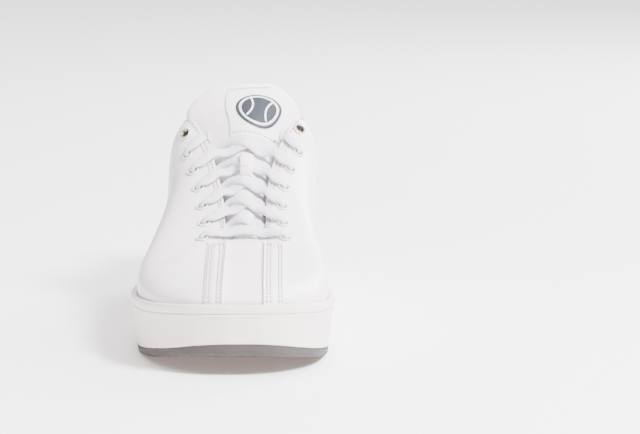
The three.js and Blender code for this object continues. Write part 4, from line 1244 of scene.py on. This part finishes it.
def emblem():
    """A round badge: a slate rim, a white ring, and a slate ball crossed by two white seams."""
    turn = turns(72)
    x, y = np.cos(turn), np.sin(turn)

    def disc(name, profile, material, nodes=()):
        rings = np.stack([emblem_place(r * x, r * y, np.full_like(x, h)) for r, h in profile])
        piece(name, *tube(rings), material, "grey_emblem", nodes, body="tongue_flap", sharp=50)

    disc("emblem_rim", [(0.05, 1.1), (1, 1.1), (1, 1.7), (0.985, 1.85), (0.955, 1.9), (0.9, 1.9),
                        (0.88, 1.75), (0.05, 1.75)], EMBLEM_RUBBER, ["tongue_emblem"])
    disc("emblem_ring", [(0.05, 1.7), (0.87, 1.7), (0.87, 1.82), (0.86, 1.88), (0.05, 1.88)], EMBLEM_WHITE)
    disc("emblem_ball", [(0.05, 1.8), (0.76, 1.8), (0.76, 2.0), (0.745, 2.08), (0.6, 2.16), (0.3, 2.22),
                         (0.05, 2.23)], EMBLEM_RUBBER)
    for side in (-1, 1):
        lean = np.linspace(-0.62, 0.62, 40)
        sx, sy = side * (1.28 - 0.98 * np.cos(lean)), 0.98 * np.sin(lean)
        inside = np.hypot(sx, sy) < 0.74
        sx, sy = sx[inside], sy[inside]
        middle = emblem_place(sx, sy, np.full_like(sx, 2.22))
        ahead = unit(np.gradient(middle, axis=0))
        up = unit(emblem_place(sx, sy, np.full_like(sx, 3.0)) - middle)
        beside = np.cross(ahead, up)
        around = turns(10)[:, None]
        round_seam = beside[:, None] * 0.55 * np.cos(around) + up[:, None] * (0.22 * np.sin(around))
        rings = middle[:, None] + round_seam
        piece(f"emblem_seam_{'outer' if side < 0 else 'inner'}", *tube(rings), EMBLEM_WHITE, "grey_emblem",
              body="tongue_flap", sharp=180)


def size_label():
    """A small woven label inside the flap, plain, with a darker selvedge at each end."""
    s, _, p, n, depth = tongue_sheet(0.8, 0.9, -0.3, 0.3, 31, 25)
    back = -tongue_thickness(s)
    low = back - 0.75 + rounded(depth, 0.4)
    sheet("size_label_weave", p, n, back - 0.1, low, WOVEN, "blue_lining", ["size_label"], body="tongue_flap")
    for name, s0, s1 in (("lower", 0.803, 0.811), ("upper", 0.889, 0.897)):
        s, _, p, n, _ = tongue_sheet(s0, s1, -0.29, 0.29, 31, 5)
        back = -tongue_thickness(s)
        sheet(f"size_label_selvedge_{name}", p, n, back - 0.6, back - 0.92, WOVEN_EDGE, "blue_lining",
              body="tongue_flap")


# The keeper: its start and length along the tongue, its edges across it, and its arch over the lace.
KEEPER_START, KEEPER_SPAN = 0.399, 0.101
KEEPER_EDGES = (-0.08, 0.165)
KEEPER_THICK = 1.6
KEEPER_RISE = [(0, 0), (0.08, 3.4), (0.2, 4.9), (0.5, 5.2), (0.68, 4.1), (0.78, 2.2), (0.86, 0), (1, 0)]


def keeper():
    """The leather bridge that holds the laces on the tongue."""
    left, right = KEEPER_EDGES
    s, a, p, n, _ = tongue_sheet(KEEPER_START, KEEPER_START + KEEPER_SPAN, left, right, 19, 71)
    rise = height_at(KEEPER_RISE, (s - KEEPER_START) / KEEPER_SPAN)
    from_edge = np.minimum(a - left, right - a) * 25
    high = KEEPER_THICK + rise - rounded(from_edge, 0.6)
    sheet("keeper_loop", p, n, high, GAP + rise, LEATHER, "white_leather", ["lace_keeper"])
    sewn_at = 0.13
    seam = tongue(KEEPER_START + KEEPER_SPAN * sewn_at, np.linspace(left + 0.03, right - 0.03, 30))
    thread_height = KEEPER_THICK + height_at(KEEPER_RISE, sewn_at)
    stitching("keeper_stitching", [raised_seam(seam, thread_height)], pitch=2.0)


# ---- Sole ----

RING = 520  # points round a ring of the sole


def sole_rings(rings):
    """Rings round the sole, each from its inset from the lip's line and its height as a function of y."""
    u = np.arange(RING) * LAPS / RING
    made = []
    for inset, z in rings:
        xy = lip_point(u, np.full_like(u, float(inset)))[0]
        made.append(np.concatenate([xy, np.asarray(z(xy[:, 1]), float)[:, None]], -1))
    return np.stack(made)


def cross_strips(first):
    """Strips that run straight across the shoe and close the ring of points that starts at first."""
    corners = [dict.fromkeys([k, k + 1, (RING - k - 1) % RING, (RING - k) % RING]) for k in range(RING // 2)]
    return [[first + c for c in strip] for strip in corners]


def sole_solid(rings):
    """Rings from the underside round to the top, closed by strips at both ends."""
    count = len(rings)
    faces = ring_quads(count, RING).tolist()
    faces += [strip[::-1] for strip in cross_strips(0)] + cross_strips((count - 1) * RING)
    return sole_rings(rings).reshape(-1, 3), faces


def cupsole():
    """The white cup: a plain wall, a groove under its lip band, and the rounded lip."""

    def wall(share):
        return lambda y: lerp(tread_z(y) + GAP, lip_z(y), share)

    def lip(drop):
        return lambda y: lip_z(y) - drop

    def floor(y):
        return tread_z(y) + GAP + CUP_FLOOR

    rings = [(4.4, wall(0)), (3.6, wall(0)), (3.3, wall(0.012)), (3.15, wall(0.04)), (2.9, wall(0.12)),
             (2.5, wall(0.25)), (2.1, wall(0.4)), (1.6, wall(0.56)), (1.15, wall(0.7)), (0.95, lip(6.2)),
             (0.9, lip(5.5)), (1.0, lip(5.2)), (1.45, lip(5.0)), (1.5, lip(4.75)), (1.05, lip(4.55)),
             (0.7, lip(4.3)), (0.5, lip(3.6)), (0.3, lip(2.6)), (0.2, lip(1.6)), (0.25, lip(1.0)),
             (0.5, lip(0.5)), (0.95, lip(0.12)), (1.5, lip(0)), (2.2, lip(0.1)), (2.9, lip(0.4)),
             (3.3, lip(0.9)), (3.38, lip(2)), (WALL, floor)]
    piece("cup", *sole_solid(rings), CUP_RUBBER, "white_rubber", ["cupsole"], sharp=50)


TREAD_PITCH = 6.5
TREAD_DEPTH = 1.3
PIVOT = (-4.0, -62.0, 20.0)  # the pivot disc under the ball: x, y and radius


def tread_groove(x, y, edge):
    """Depth of the tread at a point of the underside: herringbone, rings on the pivot disc, a plain rim."""
    zigzag = np.abs((x / 13.0 + 0.25) % 1 - 0.5) * 15.0
    bars = ((y + zigzag) / TREAD_PITCH) % 1
    away = np.hypot(x - PIVOT[0], y - PIVOT[1])
    rings = (away / 5.0) % 1
    groove = np.where(away < PIVOT[2], rings, bars)
    depth = smooth(np.abs(groove - 0.5), 0.27, 0.36)
    moat = 1 - smooth(np.abs(away - PIVOT[2]), 0.6, 1.3)
    arch = smooth(y, 2, 6) * (1 - smooth(y, 34, 38))
    inside = smooth(edge, 5.5, 6.8)
    return TREAD_DEPTH * inside * np.maximum(depth * (1 - arch), moat)


def outsole():
    """Grey rubber: a finely ribbed rim round a patterned underside."""
    u = np.arange(RING // 2 + 1) * LAPS / RING
    left, right = (lip_point(k, np.full_like(u, 5.2))[0] for k in (u, LAPS - u))
    t = np.linspace(0, 1, 92)
    xy = left[:, None] + (right - left)[:, None] * t[:, None]
    x, y = xy[..., 0], xy[..., 1]
    width = np.linalg.norm(right - left, axis=1)
    ends = np.minimum(y - y.min(), y.max() - y)
    edge = np.minimum(np.minimum(t, 1 - t) * width[:, None], ends)
    under = np.concatenate([xy, (ground_z(y) + tread_groove(x, y, edge))[..., None]], -1)

    def above(rise):
        return lambda y: ground_z(y) + rise

    rings = sole_rings([(5.2, above(0)), (4.3, above(0.35)), (3.75, above(1.0)), (3.5, above(1.8)),
                        (3.55, above(2.3)), (3.4, above(2.8)), (3.3, above(3.4)), (3.25, tread_z)])
    base, count = x.size, len(rings)
    faces = grid_quads(*x.shape)[:, ::-1].tolist() + ring_quads(count, RING, base).tolist()
    faces += cross_strips(base + (count - 1) * RING)
    points = np.concatenate([under.reshape(-1, 3), rings.reshape(-1, 3)])
    piece("tread", points, faces, GREY_RUBBER, "grey_rubber", ["outsole"], sharp=40)


def sock_liner():
    """The dished, cloth-covered liner that the foot stands on."""

    def at(rise):
        return lambda y: footbed_z(y) + rise

    wall = WALL + LINED
    rings = [(wall + 1.2, at(-4)), (wall + 1.05, at(1.6)), (wall + 1.3, at(2.4)), (wall + 2.2, at(2.6)),
             (wall + 3.4, at(2.2)), (wall + 5, at(1.3)), (wall + 7, at(0.4)), (wall + 9, at(0))]
    piece("sock_liner_knit", *sole_solid(rings), LINING, "blue_lining", ["sock_liner"])


def side_wall(u, z):
    """The cup's outer wall at a height near the heel."""
    xy, out, _ = lip_point(u, lerp(3.3, 2.0, np.clip((z - 4.4) / 11.4, 0, 1)))
    leaning = np.full_like(z, -0.12)
    return np.concatenate([xy, z[..., None]], -1), unit(np.concatenate([out, leaning[..., None]], -1))


def heel_mark():
    """A slim moulded strip on the heel with a row of slanted grey lozenges."""
    s, t = np.meshgrid(np.linspace(0, 1, 61), np.linspace(0, 1, 13), indexing="ij")
    p, n = side_wall(HEEL - 1.5 + 3 * s, lerp(6.4, 15.2, t))
    depth = np.minimum(np.minimum(s, 1 - s) * 44, np.minimum(t, 1 - t) * 8.8)
    high = 0.75 - rounded(depth, 0.5)
    sheet("heel_strip_rubber", p, n, high, 0.05, CUP_RUBBER, "white_rubber", ["heel_strip"])
    turn = turns(40)
    x, y = squared(np.cos(turn), 0.55), squared(np.sin(turn), 0.55)
    count, pitch, half_width, half_height, lean = 7, 6.0, 2.1, 3.1, 0.7
    middle_height = 10.8
    stations = HEEL + np.linspace(-2, 2, 161)
    wall, _ = side_wall(stations, np.full_like(stations, middle_height))
    reach = run_along(wall)
    reach -= np.interp(HEEL, stations, reach)
    for i in range(count):
        middle = (i - (count - 1) / 2) * pitch
        rings = []
        for r, h in [(0.05, 0.6), (1, 0.6), (1, 1.1), (0.95, 1.3), (0.84, 1.4), (0.5, 1.42), (0.05, 1.42)]:
            z = middle_height + half_height * r * y
            along_wall = middle + half_width * r * x + lean * r * y
            q, m = side_wall(np.interp(along_wall, reach, stations), z)
            rings.append(q + m * h)
        piece(f"heel_lozenge_{i + 1}", *tube(np.stack(rings)), MARK_RUBBER, "grey_rubber", sharp=50)


HIDDEN_LAYERS = {
    "midsole_core": FOAM, "lasting_board": BOARD, "toe_puff": STIFFENER, "heel_counter": STIFFENER,
    "eyestay_tape_outer": STIFFENER, "eyestay_tape_inner": STIFFENER,
}


def inner_layers():
    """The CAD's own layers inside the wall and the sole keep their shape and get their material."""
    for name, material in HIDDEN_LAYERS.items():
        data = frame["nodes"][name].data
        data.materials.clear()
        data.materials.append(material)


def sweep():
    """The paper under the shoe."""
    far = 12000
    corners = [(-far, -far, 0), (far, -far, 0), (far, far, 0), (-far, far, 0)]
    floor = mesh_object("floor", corners, [(0, 1, 2, 3)])
    floor.data.materials.append(paper_sweep())


studio()
laces()
sweep()
inner_layers()
outsole()
cupsole()
heel_mark()
sock_liner()
vamp()
for side in SIDES:
    quarter(side)
    strap(side)
heel_stay()
collar()
lining()
eyelets()
tongue_body()
label()
emblem()
size_label()
keeper()
